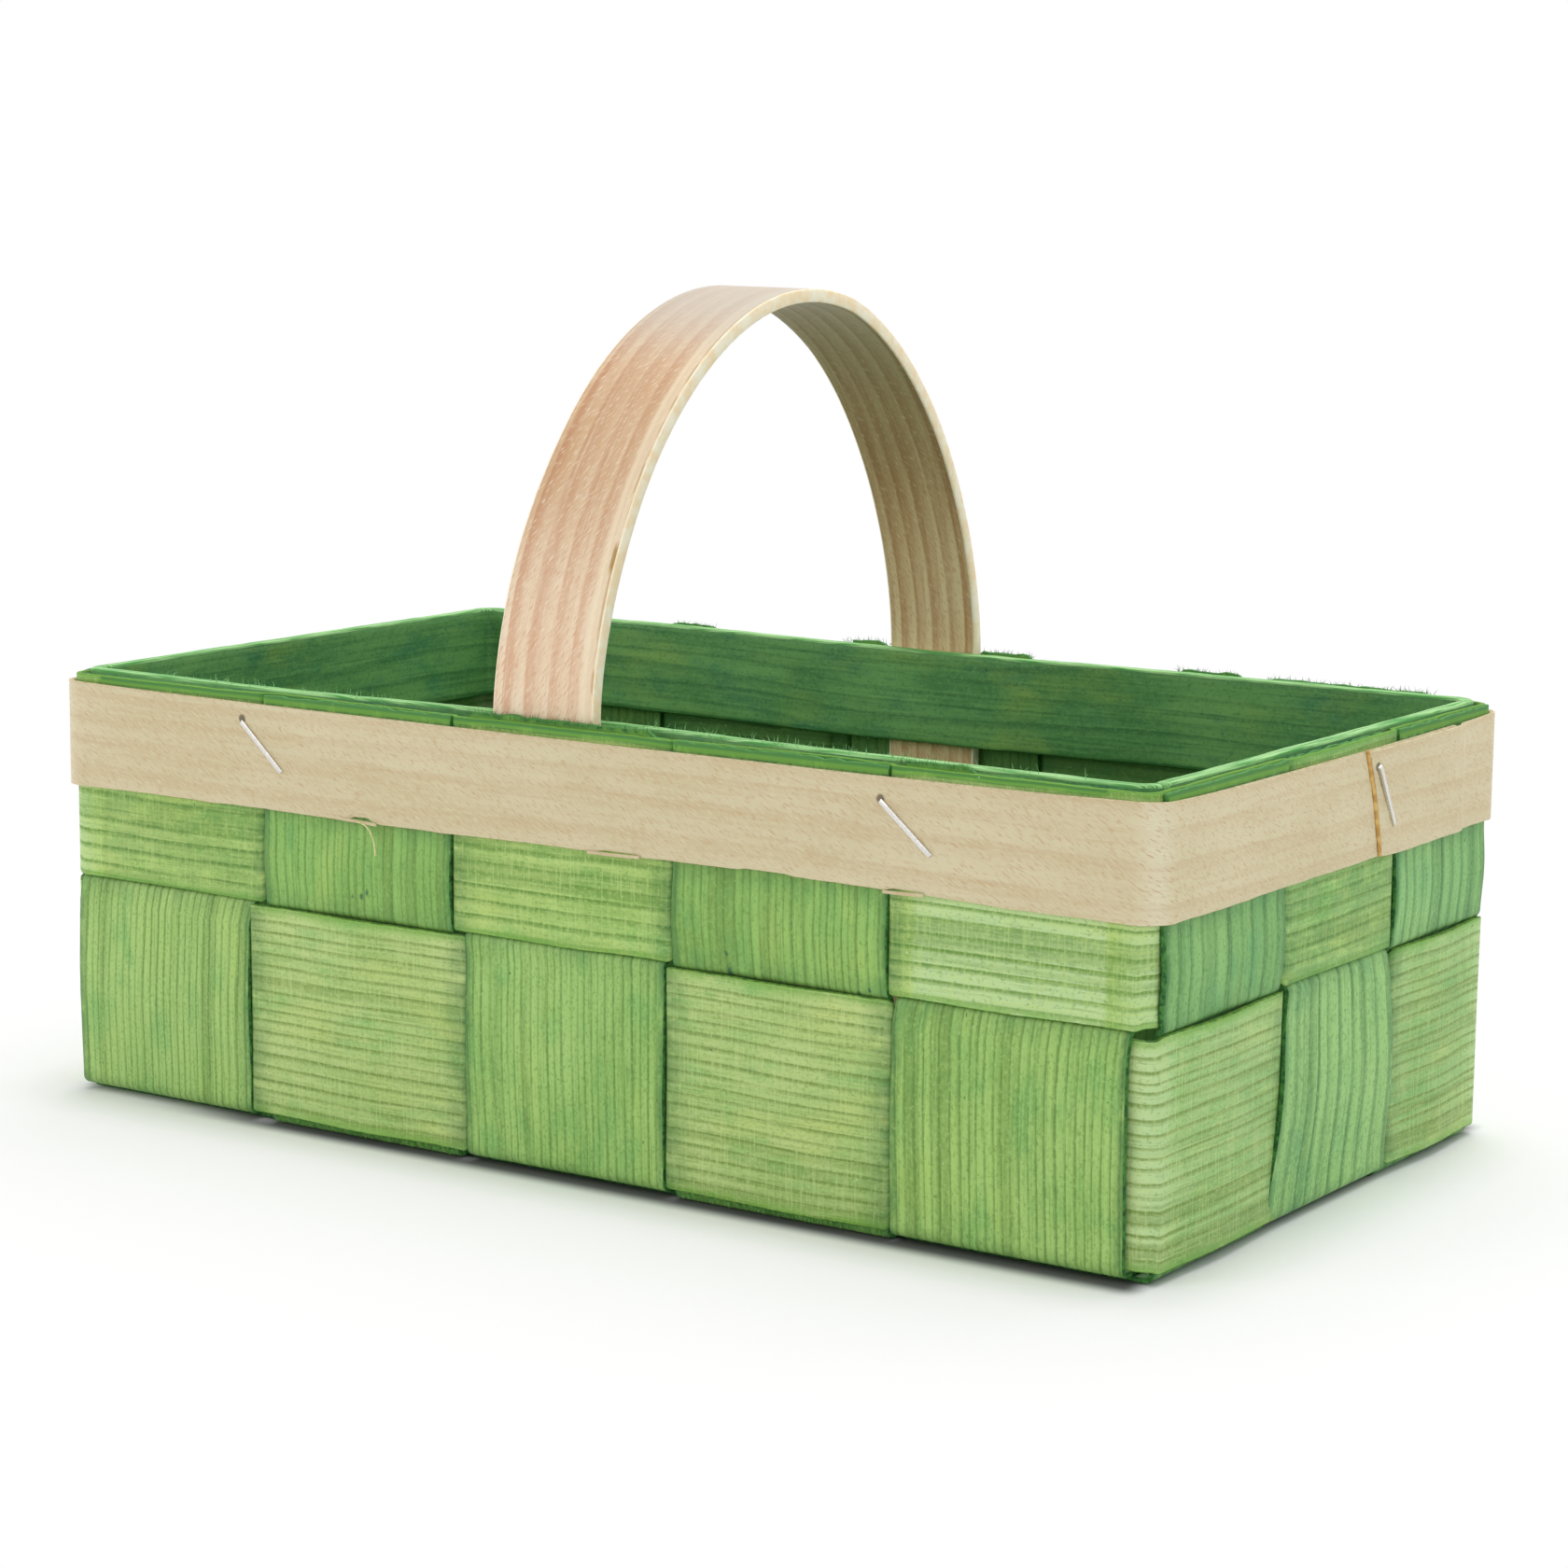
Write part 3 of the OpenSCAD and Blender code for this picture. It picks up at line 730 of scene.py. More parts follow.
cross_tones = {
    1: (shade(176, 210, 124), shade(154, 192, 106)),
    2: (shade(152, 198, 106), shade(128, 174, 86)),
    3: (shade(170, 208, 120), shade(142, 186, 98)),
    4: (shade(152, 198, 106), shade(130, 172, 84)),
    5: (shade(176, 212, 122), shade(148, 190, 100)),
}
strip_step = 0.0022
for number in range(1, 6):
    way = 1 if number % 2 == 0 else -1
    centre = (number - 3) * cross_pitch
    outer_gaps = [gap for gap in long_gaps if gap > 0]
    flat = fine_steps(whole_splint(mid_y, outer_gaps, way, 0.0005), strip_step)
    splint = lay_strip(
        f"cross_chip_{number}",
        [Vector((centre, p.x, p.y)) for p in flat],
        Vector((cross_width, 0, 0)),
        chip,
        30,
        cross_shift(number),
        splint_dye_and_shade,
        grain_start=0.37 * number,
    )
    colours = (*cross_tones[number], chip_line, chip_green, chip_sun)
    finish = dyed_chip(
        f"dyed_cross_chip_{number}", colours, cross_width, pitch=0.00165, wander=0.0042, uneven=0.35,
        seed=3.1 * number, lines=0.82, edge=0.0024
    )
    dripped(finish, front_drips.get(number, ()))
    dress(splint, finish, chip_edge, chip_inside_shaded, f"cross_splint_{number}")


# Three long splints: the same dyed chips, laid along the base over and under the cross splints.
# They fold up at the short walls, where their rings are wider and their dye is bluer.

right_edges = {
    1: ((0.0, 0.0), (-0.0010, 0.0018)),
    2: ((-0.0008, 0.0032), (0.0, 0.0)),
    3: ((0.0, 0.0), (0.0017, 0.0005)),
}


def long_shift(number):
    """The hand-made part of a long splint. On the right wall, the middle one's front edge leans back."""

    def shift(run, across, point, out):
        side = 1 if point.x > 0 else -1
        edges = right_edges[number] if side > 0 else straight
        slide = wall_slide(edges, point, -across)
        if number == 2 and side > 0:
            leaning = 0.0026 * (point.z - 0.020) / 0.018
            slide += leaning * (0.5 + across) * clamped((0.045 - point.z) / 0.006)
        slide *= clamped((abs(point.x) - long_push_start) / push_ease)
        slide -= splint_waver(number + 60, number + 90, run, across)
        move = Vector((0, slide, 0)) + out * splint_rough(number + 67, run, across, point)
        if point.z > wall_top - torn_depth:
            move.z += torn_end(number + 60 * side, point.y, ())
        return move

    return shift


long_tones = {
    1: (shade(140, 190, 114), shade(120, 170, 96)),
    2: (shade(168, 210, 132), shade(150, 198, 118)),
    3: (shade(150, 200, 126), shade(130, 184, 108)),
}
long_line = shade(66, 118, 54)
long_green = shade(104, 172, 112)
long_sun = shade(160, 204, 124)
for number in range(1, 4):
    way = 1 if number % 2 == 0 else -1
    centre = (number - 2) * long_pitch
    outer_gaps = [gap for gap in cross_gaps if gap > 0]
    flat = fine_steps(whole_splint(mid_x, outer_gaps, way), strip_step)
    splint = lay_strip(
        f"long_chip_{number}",
        [Vector((p.x, centre, p.y)) for p in flat],
        Vector((0, -long_width, 0)),
        chip,
        28,
        long_shift(number),
        splint_dye_and_shade,
        grain_start=2.3 + 0.41 * number,
    )
    finish = dyed_chip(
        f"dyed_long_chip_{number}", (*long_tones[number], long_line, long_green, long_sun), long_width,
        pitch=0.0040, wander=0.0025, uneven=0.3, seed=5.3 * number, lines=0.75, edge=0.0024
    )
    dress(splint, finish, chip_edge, chip_inside_shaded, f"long_splint_{number}")


# The lower weaver: one dyed chip that runs over and under the splints round all four walls.
# Its end laps over its start inside the back wall.

weaver_corner_radius = 0.0025


def turned(wall, p):
    """A point of the front wall's plan, turned to another wall: 1 right, 2 back, 3 left."""
    return [p, Vector((-p.y, p.x)), -p, Vector((p.y, -p.x))][wall]


def on_wall(wall, mid, p):
    """A point at a distance along a wall and out from it, in the basket's plan."""
    return turned(wall, Vector((p.x, -(mid + p.y))))


def wall_mid(wall):
    """How far from the middle of the basket a wall's weave lies."""
    return mid_y if wall % 2 == 0 else mid_x


def weaver_signs(wall, row):
    """1 where the weaver lies outside its upright, and -1 where it lies inside."""
    if wall % 2 == 0:
        return [-1 if (i + row) % 2 == 0 else 1 for i in range(1, 6)]
    return [1 if (j + row) % 2 == 0 else -1 for j in range(1, 4)]


def corner_start(wall, row):
    """Where on a wall the weaver starts to bend round the next corner."""
    return wall_mid(wall + 1) + weaver_signs((wall + 1) % 4, row)[0] * layer - weaver_corner_radius


seen_gaps = {
    (0, 1): [-0.06985, -0.02070, 0.02180, 0.06605],
    (0, 2): [-0.06655, -0.02340, 0.02265, 0.06545],
    (1, 1): [-0.01860, 0.02290],
    (1, 2): [-0.01830, 0.02190],
}


def gaps_of(wall, row):
    """Middles of the gaps between the splints, as the hand-woven front and right walls have them."""
    return seen_gaps.get((wall, row), cross_gaps if wall % 2 == 0 else long_gaps)


def weaver_part(wall, row, first, last, start, end, belly):
    """The weaver on one wall, from its first upright to its last, stepping over in each gap."""
    gaps = gaps_of(wall, row)
    signs = weaver_signs(wall, row)
    points = []
    for k in range(first, last + 1):
        left = start if k == first else gaps[k - 1] + half_gap
        right = end if k == last else gaps[k] - half_gap
        out = signs[k] * layer
        points += swell(Vector((left, out)), Vector((right, out)), belly if out > 0 else 0)
        if k < last:
            points += step_over(Vector((right, out)), Vector((right + splint_gap, -out)))
    return [on_wall(wall, wall_mid(wall), p) for p in points]


def weaver_corner(wall, row):
    """The bend from a wall to the next one."""
    out = weaver_signs(wall, row)[0] * layer
    centre = Vector((corner_start(wall, row), -(wall_mid(wall) + out - weaver_corner_radius)))
    return [turned(wall, p) for p in arc(centre, weaver_corner_radius, -90, 0, 8)]


def weaver_path(row, lap_cell, lap, belly):
    """The weaver's plan: from its start on the back wall round all four, to its end inside its start."""
    end = corner_start(2, row)
    step_from = cross_gaps[lap_cell - 1] + half_gap + 0.0018
    step_to = step_from + splint_gap
    start = step_to + 0.001
    points = [on_wall(2, mid_y, Vector((start, -layer)))]
    points += weaver_part(2, row, lap_cell, 4, start, end, belly) + weaver_corner(2, row)
    for wall, cells in ((3, 2), (0, 4), (1, 2)):
        stop = corner_start(wall, row)
        points += weaver_part(wall, row, 0, cells, -stop, stop, belly) + weaver_corner(wall, row)
    points += weaver_part(2, row, 0, lap_cell, -end, step_from, belly)
    lapped = step_over(Vector((step_from, -layer)), Vector((step_to, -3 * layer)))
    lapped.append(Vector((step_to + lap, -3 * layer)))
    return points + [on_wall(2, mid_y, p) for p in lapped]


def weaver_shift(seed, foot_sag, top_rise):
    """Wavy long edges. Where the weaver lies outside its splint, its foot sags and its top edge rises."""

    def shift(run, across, point, out):
        waver = 0.0002 * tremble(seed, run * 60) + 0.00008 * tremble(seed + 30, run * 420)
        if across < 0:
            waver = 0.00025 * tremble(seed + 3, run * 60) - 0.0001 * abs(tremble(seed + 33, run * 500))
        rough = 0.00004 * tremble(seed + 5, run * 40, across * 3)
        outside = clamped(max(abs(point.x) - mid_x, abs(point.y) - mid_y) / layer)
        rise = top_rise * outside * (0.5 + across) ** 4
        height = waver * abs(2 * across) ** 3 - foot_sag * outside * (0.5 - across) ** 2 + rise
        return Vector((0, 0, height)) + out * (rough + 0.3 * rise)

    return shift


corner_reach = 0.008
gap_reach = 0.0055
rim_depth = 0.0010


def weaver_dye_and_highlight(run, across, point):
    """Dye gathered at the gaps and at the rim; darker along the side walls and the left of the front's upper
    row, paler at its right end; a painted highlight at the corners.
    """
    corner = math.hypot(abs(point.x) - mid_x, abs(point.y) - mid_y)
    # Round the corners the weaver is painted paler: a painted highlight.
    if corner < corner_reach:
        return -(1.0 - corner / corner_reach)
    row = 1 if point.z < row_1_top + 0.001 else 2
    if abs(point.x) > mid_x - 0.003:
        wall = 1 if point.x > 0 else 3
        along = point.y if wall == 1 else -point.y
    else:
        wall = 0 if point.y < 0 else 2
        along = point.x if wall == 0 else -point.x
    pool = 0.9 * max(near(along, gap, gap_reach) for gap in gaps_of(wall, row))
    if wall == 3:
        return max(pool, 0.2)
    if wall == 1:
        return max(pool, 0.44 if row == 2 else 0.12)
    if point.z > wall_top - rim_depth:
        return rim_soak
    darker_left = 0.35 * clamped((0.02 - point.x) / 0.10) if row == 2 else 0.0
    paler_right = 1.1 * clamped((point.x - 0.068) / 0.004) if (wall, row) == (0, 2) else 0.0
    return max(pool, darker_left) - paler_right


weaver_step = 0.0024


def wind_weaver(name, plan, foot, shift, grain_start):
    """Stands a chip on its edge and winds it round the walls along its plan."""
    middle = foot + row_height / 2
    path = [Vector((p.x, p.y, middle)) for p in fine_steps(plan, weaver_step)]
    return lay_strip(name, path, Vector((0, 0, row_height)), chip, 24, shift, weaver_dye_and_highlight, grain_start)


lower_plan = weaver_path(1, lap_cell=4, lap=0.022, belly=0.0008)
lower_weave = wind_weaver("lower_weave", lower_plan, row_1_foot, weaver_shift(11, 0.0006, 0.0007), 4.2)
weaver_rim = shade(116, 176, 62)
# The weaver's rim colour is a painted highlight along the top of the walls.
weaver_edge = cut_edge(
    "weaver_cut_edge", shade(70, 118, 44), shade(122, 162, 70), 2.9, rim=shade(108, 162, 60)
)
colours = (
    shade(194, 214, 140), shade(160, 194, 110), shade(116, 146, 62), shade(118, 182, 98), shade(204, 216, 124)
)
finish = dyed_chip(
    "dyed_lower_weaver", colours, row_height, pitch=0.0020, wander=0.0028, uneven=0.3, seed=2.2,
    lines=1.0, rim=weaver_rim, edge=0.0022, rays=0.42
)
dress(lower_weave, finish, weaver_edge, chip_inside_shaded, "lower_weaver")


# The upper weaver: a second dyed chip above the first, in the opposite order over and under.
# Its upper half lies behind the rim band, and its top edge shows as a yellow-green line.

upper_plan = weaver_path(2, lap_cell=3, lap=0.0105, belly=0.0003)
upper_weave = wind_weaver("upper_weave", upper_plan, row_2_foot, weaver_shift(23, 0.0006, 0.0), 8.8)
colours = (
    shade(192, 218, 130), shade(152, 190, 98), shade(100, 144, 54), shade(108, 180, 92), shade(198, 216, 116)
)
finish = dyed_chip(
    "dyed_upper_weaver", colours, row_height, pitch=0.0025, wander=0.0028, uneven=0.3, seed=8.4,
    lines=1.0, rim=weaver_rim, edge=0.0018, rays=0.42
)
dress(upper_weave, finish, weaver_edge, chip_inside_shaded, "upper_weaver")


# The handle: one strip of natural pine, steamed and bent to an arch.
# Its legs go down inside the long walls, where a staple holds each to the weave.

handle_x = -0.0035
handle_mid = 0.05921
handle_foot = 0.008
handle_spring = wall_top + 0.0013
handle_top = wall_top + 0.0725
handle_width = 0.0208
handle_thick = 0.0024
handle_rise = handle_top - handle_thick / 2 - handle_spring
arch_fullness = 1.18
arch_steps = 72
arch = [Vector((-handle_mid, handle_foot))]
for k in range(arch_steps + 1):
    turn = math.pi * k / arch_steps
    height = handle_spring + handle_rise * math.sin(turn) ** arch_fullness
    arch.append(Vector((-handle_mid * math.cos(turn), height)))
arch.append(Vector((handle_mid, handle_foot)))


flat_middle = -0.020
flat_reach = 0.036
flat_depth = 0.0012


def handle_shift(run, across, point, out):
    """The hand-bent arch: wider at its front foot, narrower behind, and a little flat in front of its top."""
    slide = 0.0014 * point.y / handle_mid + 0.00015 * tremble(30, run * 45) * 2 * across
    if point.y < 0:
        slide -= (0.0003 + 0.0007 * (across + 0.5)) * clamped((0.125 - point.z) / 0.045)
    else:
        slide += 0.0016 * (across + 0.5) * min(1.0, point.y / 0.030)
    drop = flat_depth * (1 - (point.y - flat_middle) ** 2 / flat_reach ** 2)
    return Vector((slide, 0, -max(0.0, drop))) + out * 0.00006 * tremble(31, run * 30, across * 2)


def handle_darkening(run, across, point):
    """The arch is darker above a height of about 90 mm, most of all at its shoulders."""
    return 1.15 * near(point.z, 0.126, 0.036)


handle_grain = 6.1
handle_strip = lay_strip(
    "bent_handle",
    [Vector((handle_x, p.x, p.y)) for p in fine_steps(arch, 0.0026)],
    Vector((-handle_width, 0, 0)),
    handle_thick,
    14,
    handle_shift,
    handle_darkening,
    grain_start=handle_grain,
    edge=0.0004,
)


def natural_pine(name, colours, own_marks, pitch, wander, start, seed, lines, flecks, darker_tint=None):
    """Bare pine: soft broad stripes of rings, fine fibres and short ray flecks, then the piece's own marks.

    The tint given for darker places darkens the pine where the strip's pool attribute is above 0. A piece
    without it is painted pale where that attribute is below 0: a painted highlight.
    """
    pale, deep, line = colours
    finish, tree, surface = new_finish(name)
    grain = add_node(tree, "ShaderNodeUVMap").outputs[0]
    gathered = add_node(tree, "ShaderNodeAttribute", attribute_name="pool").outputs["Fac"]
    ring = put_group(tree, rings, Place=grain, Pitch=pitch, Wander=wander, Uneven=0.3, Start=start, Seed=seed)
    mark = put_group(tree, marks, Place=grain, Half_Width=0.05, Edge=0.001, Pool=0.0, Seed=seed + 1.9)
    colour = mixed(tree, mark["Cloud"], pale, deep)
    colour = mixed(tree, reckon(tree, "MULTIPLY", ring["Line"], lines), colour, line)
    if darker_tint:
        colour = mixed(tree, fade(tree, gathered, 0.0, 1.0), colour, darker_tint, "MULTIPLY")
    else:
        # Painted highlight: where the attribute is below 0 the pine turns pale.
        colour = mixed(tree, fade(tree, gathered, 0.0, -1.0, 0.6), colour, shade(236, 228, 200))
    place = split(tree, grain)
    thread = cloud(tree, stretched(tree, place["X"], place["Y"], seed, 40.0, 900.0), 3.0, 0.6)
    slant = reckon(tree, "MULTIPLY_ADD", place["X"], 0.55, place["Y"])
    ray = cloud(tree, stretched(tree, slant, place["X"], seed, 3200.0, 800.0), 2.0)
    layers = [
        (fade(tree, thread, 0.5, 0.3, 0.30), line),
        (fade(tree, thread, 0.5, 0.7, 0.30), pale),
        (fade(tree, ring["Fibre"], 0.48, 0.26, 0.25), line),
        (fade(tree, ring["Fibre"], 0.52, 0.74, 0.3), pale),
        (fade(tree, ray, 0.53, 0.72, flecks), line),
        (fade(tree, ray, 0.45, 0.28, flecks), pale),
    ]
    for amount, tint in layers:
        colour = mixed(tree, amount, colour, tint)
    roughness = reckon(tree, "MULTIPLY_ADD", ring["Fibre"], 0.2, 0.38)
    relief = reckon(tree, "MULTIPLY_ADD", ray, 0.25, ring["Fibre"])
    coat(tree, surface, own_marks(tree, place, colour), roughness, 0.4, relief, 0.3, 0.00006)
    return finish


def handle_marks(tree, place, colour):
    """A pale strip and a resin line along the handle's right edge, one short streak of resin, and a painted
    sheen that greys the top of the arch.
    """
    right = reckon(tree, "ADD", place["Y"], handle_width / 2)
    blonde = reckon(tree, "MULTIPLY", fade(tree, right, 0.0036, 0.0024), 0.6)
    colour = mixed(tree, blonde, colour, shade(246, 230, 198))
    beads = fade(tree, cloud(tree, stretched(tree, place["X"], place["Y"], 4.4, 160.0, 900.0)), 0.42, 0.55)
    resin = reckon(tree, "MULTIPLY", beads, fade(tree, right, 0.0011, 0.0006))
    colour = mixed(tree, reckon(tree, "MULTIPLY", resin, 0.55), colour, shade(176, 134, 62))
    streak_run = reckon(tree, "ABSOLUTE", reckon(tree, "SUBTRACT", place["X"], handle_grain + 0.0990))
    streak_edge = fade(tree, right, 0.0015, 0.0009)
    streak = reckon(tree, "MULTIPLY", fade(tree, streak_run, 0.0034, 0.0012), streak_edge)
    colour = mixed(tree, reckon(tree, "MULTIPLY", streak, 0.85), colour, shade(164, 124, 44))
    # Painted sheen: towards the top of the arch the colour turns grey.
    height = split(tree, spot_on_object(tree))["Z"]
    return mixed(tree, fade(tree, height, 0.136, 0.149, 0.7), colour, shade(184, 178, 166))


def inside_shade_and_reflection(tree, place, colour):
    """Painted shade and a painted green reflection on the hollow side of the arch, most of all at its top."""
    height = split(tree, spot_on_object(tree))["Z"]
    return mixed(tree, fade(tree, height, 0.095, 0.145, 0.42), colour, shade(132, 138, 108))


handle_rings = {"pitch": 0.0040, "wander": 0.0012, "start": 0.05, "lines": 0.75, "flecks": 0.6}
pine_colours = (shade(244, 224, 196), shade(235, 208, 174), shade(208, 154, 116))
pine = natural_pine(
    "handle_pine", pine_colours, handle_marks, seed=3.3, darker_tint=shade(227, 213, 196), **handle_rings
)
# The hollow side is a darker, yellower copy of the pine: painted shade.
hollow_side_shaded_colours = (shade(244, 222, 178), shade(232, 202, 154), shade(186, 134, 86))
pine_inside_shaded = natural_pine(
    "handle_inside_shaded", hollow_side_shaded_colours, inside_shade_and_reflection, seed=5.9, darker_tint=shade(214, 206, 196), **handle_rings
)
pine_edge = cut_edge("handle_edge", shade(252, 228, 188), shade(255, 246, 222), 8.3, 300.0, 0.1)
dress(handle_strip, pine, pine_edge, pine_inside_shaded, "handle")


# The inner rim band: a thicker dyed band bent round the inside of the rim.
# It swings inwards round the handle's legs, and its ends meet near the front-right corner.

hoop_thick = 0.0024
hoop_height = 0.0174
hoop_top = wall_top + 0.0004
hoop_seat = weave_face + chip_air + hoop_thick / 2
hoop_radius = 0.004 - hoop_thick / 2
bow_depth = handle_thick + chip_air
bow_flat = 0.011
bow_reach = 0.0598


def band_corner(wall, off_long, off_short, radius):
    """The bend of a band from a wall to the next one, with how far off the middle it lies on both."""
    here = off_long if wall % 2 == 0 else off_short
    beside = off_short if wall % 2 == 0 else off_long
    centre = Vector((beside - radius, radius - here))
    start = centre - Vector((0, radius))
    return [turned(wall, p) for p in [start] + arc(centre, radius, -90, 0, 7)]


def bowed(off):
    """How far the band swings inwards at a distance from the middle of the handle."""
    part = clamped((bow_reach - abs(off)) / (bow_reach - bow_flat))
    return bow_depth * (1 - math.cos(math.pi * part)) / 2


def bow(wall, at, centre):
    """The swing of the band round one leg of the handle."""
    points = []
    steps = 20
    for k in range(steps + 1):
        off = -bow_reach + (bow_reach - bow_flat) * k / steps
        points.append(Vector((centre + off, -bowed(off))))
    points += [Vector((2 * centre - p.x, p.y)) for p in reversed(points)]
    return [on_wall(wall, at, p) for p in points]


hoop_gap = 0.0004
at_long = mid_y - hoop_seat
at_short = mid_x - hoop_seat
corner = (at_long, at_short, hoop_radius)
plan = [turned(1, Vector((hoop_radius - at_long + hoop_gap, -at_short)))] + band_corner(1, *corner)
plan += bow(2, at_long, -handle_x) + band_corner(2, *corner) + band_corner(3, *corner)
plan += bow(0, at_long, handle_x) + band_corner(0, *corner)


def hoop_shift(run, across, point, out):
    """The hand-cut long edges of the band, which stand a little past its true height."""
    edge = 0.0003 + 0.0002 * across + 0.00012 * tremble(51, run * 80) + 0.00006 * tremble(52, run * 400)
    return Vector((0, 0, edge * 2 * across))


hoop = lay_strip(
    "dyed_hoop",
    [Vector((p.x, p.y, hoop_top - hoop_height / 2)) for p in fine_steps(plan, 0.0024)],
    Vector((0, 0, hoop_height)),
    hoop_thick,
    12,
    hoop_shift,
    grain_start=12.4,
    edge=0.0006,
)
colours = (
    shade(122, 178, 102), shade(80, 140, 78), shade(46, 104, 58), shade(52, 126, 96), shade(156, 188, 90)
)
finish = dyed_chip(
    "dyed_hoop_side", colours, hoop_height, pitch=0.0026, wander=0.006, uneven=0.6, seed=6.6,
    lines=0.5, edge=0.001, specks=0.1
)

# The saw left its marks along the band's top edge, so their streaks turn with each wall.
hoop_edge = cut_edge("hoop_top_edge", shade(88, 160, 82), shade(170, 218, 148), 5.1, 2600.0, 0.15)
tree = hoop_edge.node_tree
place = split(tree, spot_on_object(tree))
on_long_wall = fade(tree, reckon(tree, "ABSOLUTE", place["Y"]), 0.0545, 0.0550)
long_streak = cloud(tree, stretched(tree, place["X"], place["Y"], 3.3, 90, 3000), 3.0)
short_streak = cloud(tree, stretched(tree, place["X"], place["Y"], 3.3, 3000, 90), 3.0)
change = reckon(tree, "SUBTRACT", long_streak, short_streak)
streak = reckon(tree, "MULTIPLY_ADD", change, on_long_wall, short_streak)
tree.links.new(fade(tree, streak, 0.36, 0.62), tree.nodes["Mix"].inputs[0])
saw_depth = 0.010
for face in hoop.data.polygons:
    if face.center.z < hoop_top - saw_depth:
        face.material_index = 0
dress(hoop, finish, hoop_edge, finish, "inner_rim_band")


# The outer rim band: a thin natural veneer round the outside of the rim, pressed tight at the corners.
# Its slanted end laps over its start on the right wall, with a line of amber glue.

band_out_x = 0.115
band_out_y = 0.0635
band_thick = 0.0009
band_height = 0.020
band_top = wall_top - 0.001
band_radius = 0.005 - band_thick / 2
band_long = band_out_y - band_thick / 2
band_short = band_out_x - band_thick / 2
band_ply = band_thick + 0.0001
seam_at = 0.0075
seam_slant = 0.0061
lap_end = 0.048
lap_step = 0.004
plan = [
    turned(1, Vector((seam_at, -(band_short + band_ply)))),
    turned(1, Vector((lap_end - lap_step, -(band_short + band_ply)))),
]
lap = step_over(Vector((lap_end - lap_step, band_ply)), Vector((lap_end, 0)))
plan += [on_wall(1, band_short, p) for p in lap]
for wall in (1, 2, 3, 0):
    plan += band_corner(wall, band_long, band_short, band_radius)
plan.append(turned(1, Vector((lap_end - lap_step - 0.0005, -band_short))))


def seam_place(across):
    """Where the slanted end of the band lies on the right wall, at a height across the band."""
    return seam_at + seam_slant * (0.5 - across) + 0.0006 * math.sin(math.pi * (across + 0.5))


# The chipped places along the band's front foot: where, how far to each side, and how high.
band_chips = (
    (-0.0428, 0.0030, 0.0009),
    (0.0122, 0.0042, 0.0004),
    (0.0692, 0.0030, 0.0004),
    (0.0420, 0.0050, 0.0003),
)
slant_reach = 0.026
tip_reach = 0.004
# Where the painted highlight at the band's corners is centred, and how far it reaches.
corner_highlight_place = (0.1131, 0.0616)
corner_highlight_reach = 0.0042


def band_shift(run, across, point, out):
    """The slanted lap end, the band's hollow top edge, its wavy foot and its chipped places."""
    move = Vector((0, 0, 0))
    if run < slant_reach:
        move.y += (seam_place(across) - seam_at) * (1 - run / slant_reach)
        move.x -= 0.0004 * max(0.0, 1 - run / tip_reach)
    long_wall = abs(point.y) > band_out_y - 0.001
    share = point.x / band_out_x if long_wall else point.y / band_out_y
    top = -0.00025 - 0.00060 * (1 - share ** 4) + 0.00008 * tremble(63, run * 60)
    foot = 0.0005 + 0.00022 * tremble(61, run * 45) + 0.00010 * tremble(62, run * 260)
    if long_wall and point.y < 0:
        foot += 0.0006 * near(point.x, 0.032, 0.055) ** 0.5
        for place, reach, height in band_chips:
            foot += height * between(point.x, place - reach, place + reach, 0.0005)
    move.z += foot * max(0.0, -2 * across) ** 3 + top * max(0.0, 2 * across) ** 3
    return move + out * 0.00005 * (1 + tremble(64, run * 30, across * 2))


def band_corner_highlight(run, across, point):
    """A painted highlight: the band is paler round its corners."""
    off = math.hypot(abs(point.x) - corner_highlight_place[0], abs(point.y) - corner_highlight_place[1])
    return -max(0.0, 1.0 - off / corner_highlight_reach)


veneer = lay_strip(
    "rim_veneer",
    [Vector((p.x, p.y, band_top - band_height / 2)) for p in fine_steps(plan, 0.0016)],
    Vector((0, 0, band_height)),
    band_thick,
    14,
    band_shift,
    band_corner_highlight,
    grain_start=15.5,
    edge=0.00012,
)


def veneer_marks(tree, place, colour):
    """Dark bruises where one point of each visible staple went in."""
    spot = spot_on_object(tree)
    on_front = -band_out_y
    on_right = band_out_x + band_ply
    bruises = ((-0.0701, on_front, 0.0736), (0.0643, on_front, 0.0728), (on_right, 0.0104, 0.0735))
    for bruise in bruises:
        off = reckon_vector(tree, "DISTANCE", spot, bruise)
        colour = mixed(tree, fade(tree, off, 0.0010, 0.0005, 0.8), colour, shade(74, 62, 46))
    return colour


veneer_colours = (shade(219, 207, 172), shade(210, 196, 158), shade(200, 172, 130))
veneer_face = natural_pine(
    "veneer_face", veneer_colours, veneer_marks, pitch=0.0052, wander=0.0026, start=0.25, seed=7.7,
    lines=0.4, flecks=0.85
)
veneer_edge = cut_edge("veneer_edge", shade(196, 178, 138), shade(222, 208, 172), 6.3)
dress(veneer, veneer_face, veneer_edge, veneer_face, "outer_rim_band")


# What hangs on the band: a bead of amber glue along its slanted end, three slivers that lift
# from its lower edge, and one long splinter that hangs from it.

bead_width = 0.00055
bead_thick = 0.0004
bead_length = 0.0188
bead_steps = 24
points = []
for k in range(bead_steps + 1):
    across = 0.5 - k / bead_steps
    waver = 0.00008 * tremble(71, k * 0.45)
    height = band_top - band_height / 2 + bead_length * across
    points.append(Vector((band_out_x + 0.00035 + waver, seam_place(across) - 0.00015 + waver, height)))


def bead_shift(run, across, point, out):
    """The bead's uneven sides and its rounded back."""
    side = 2 * across
    return Vector((0, side * 0.00022 * tremble(72, run * 500), 0)) - out * 0.0003 * side ** 2


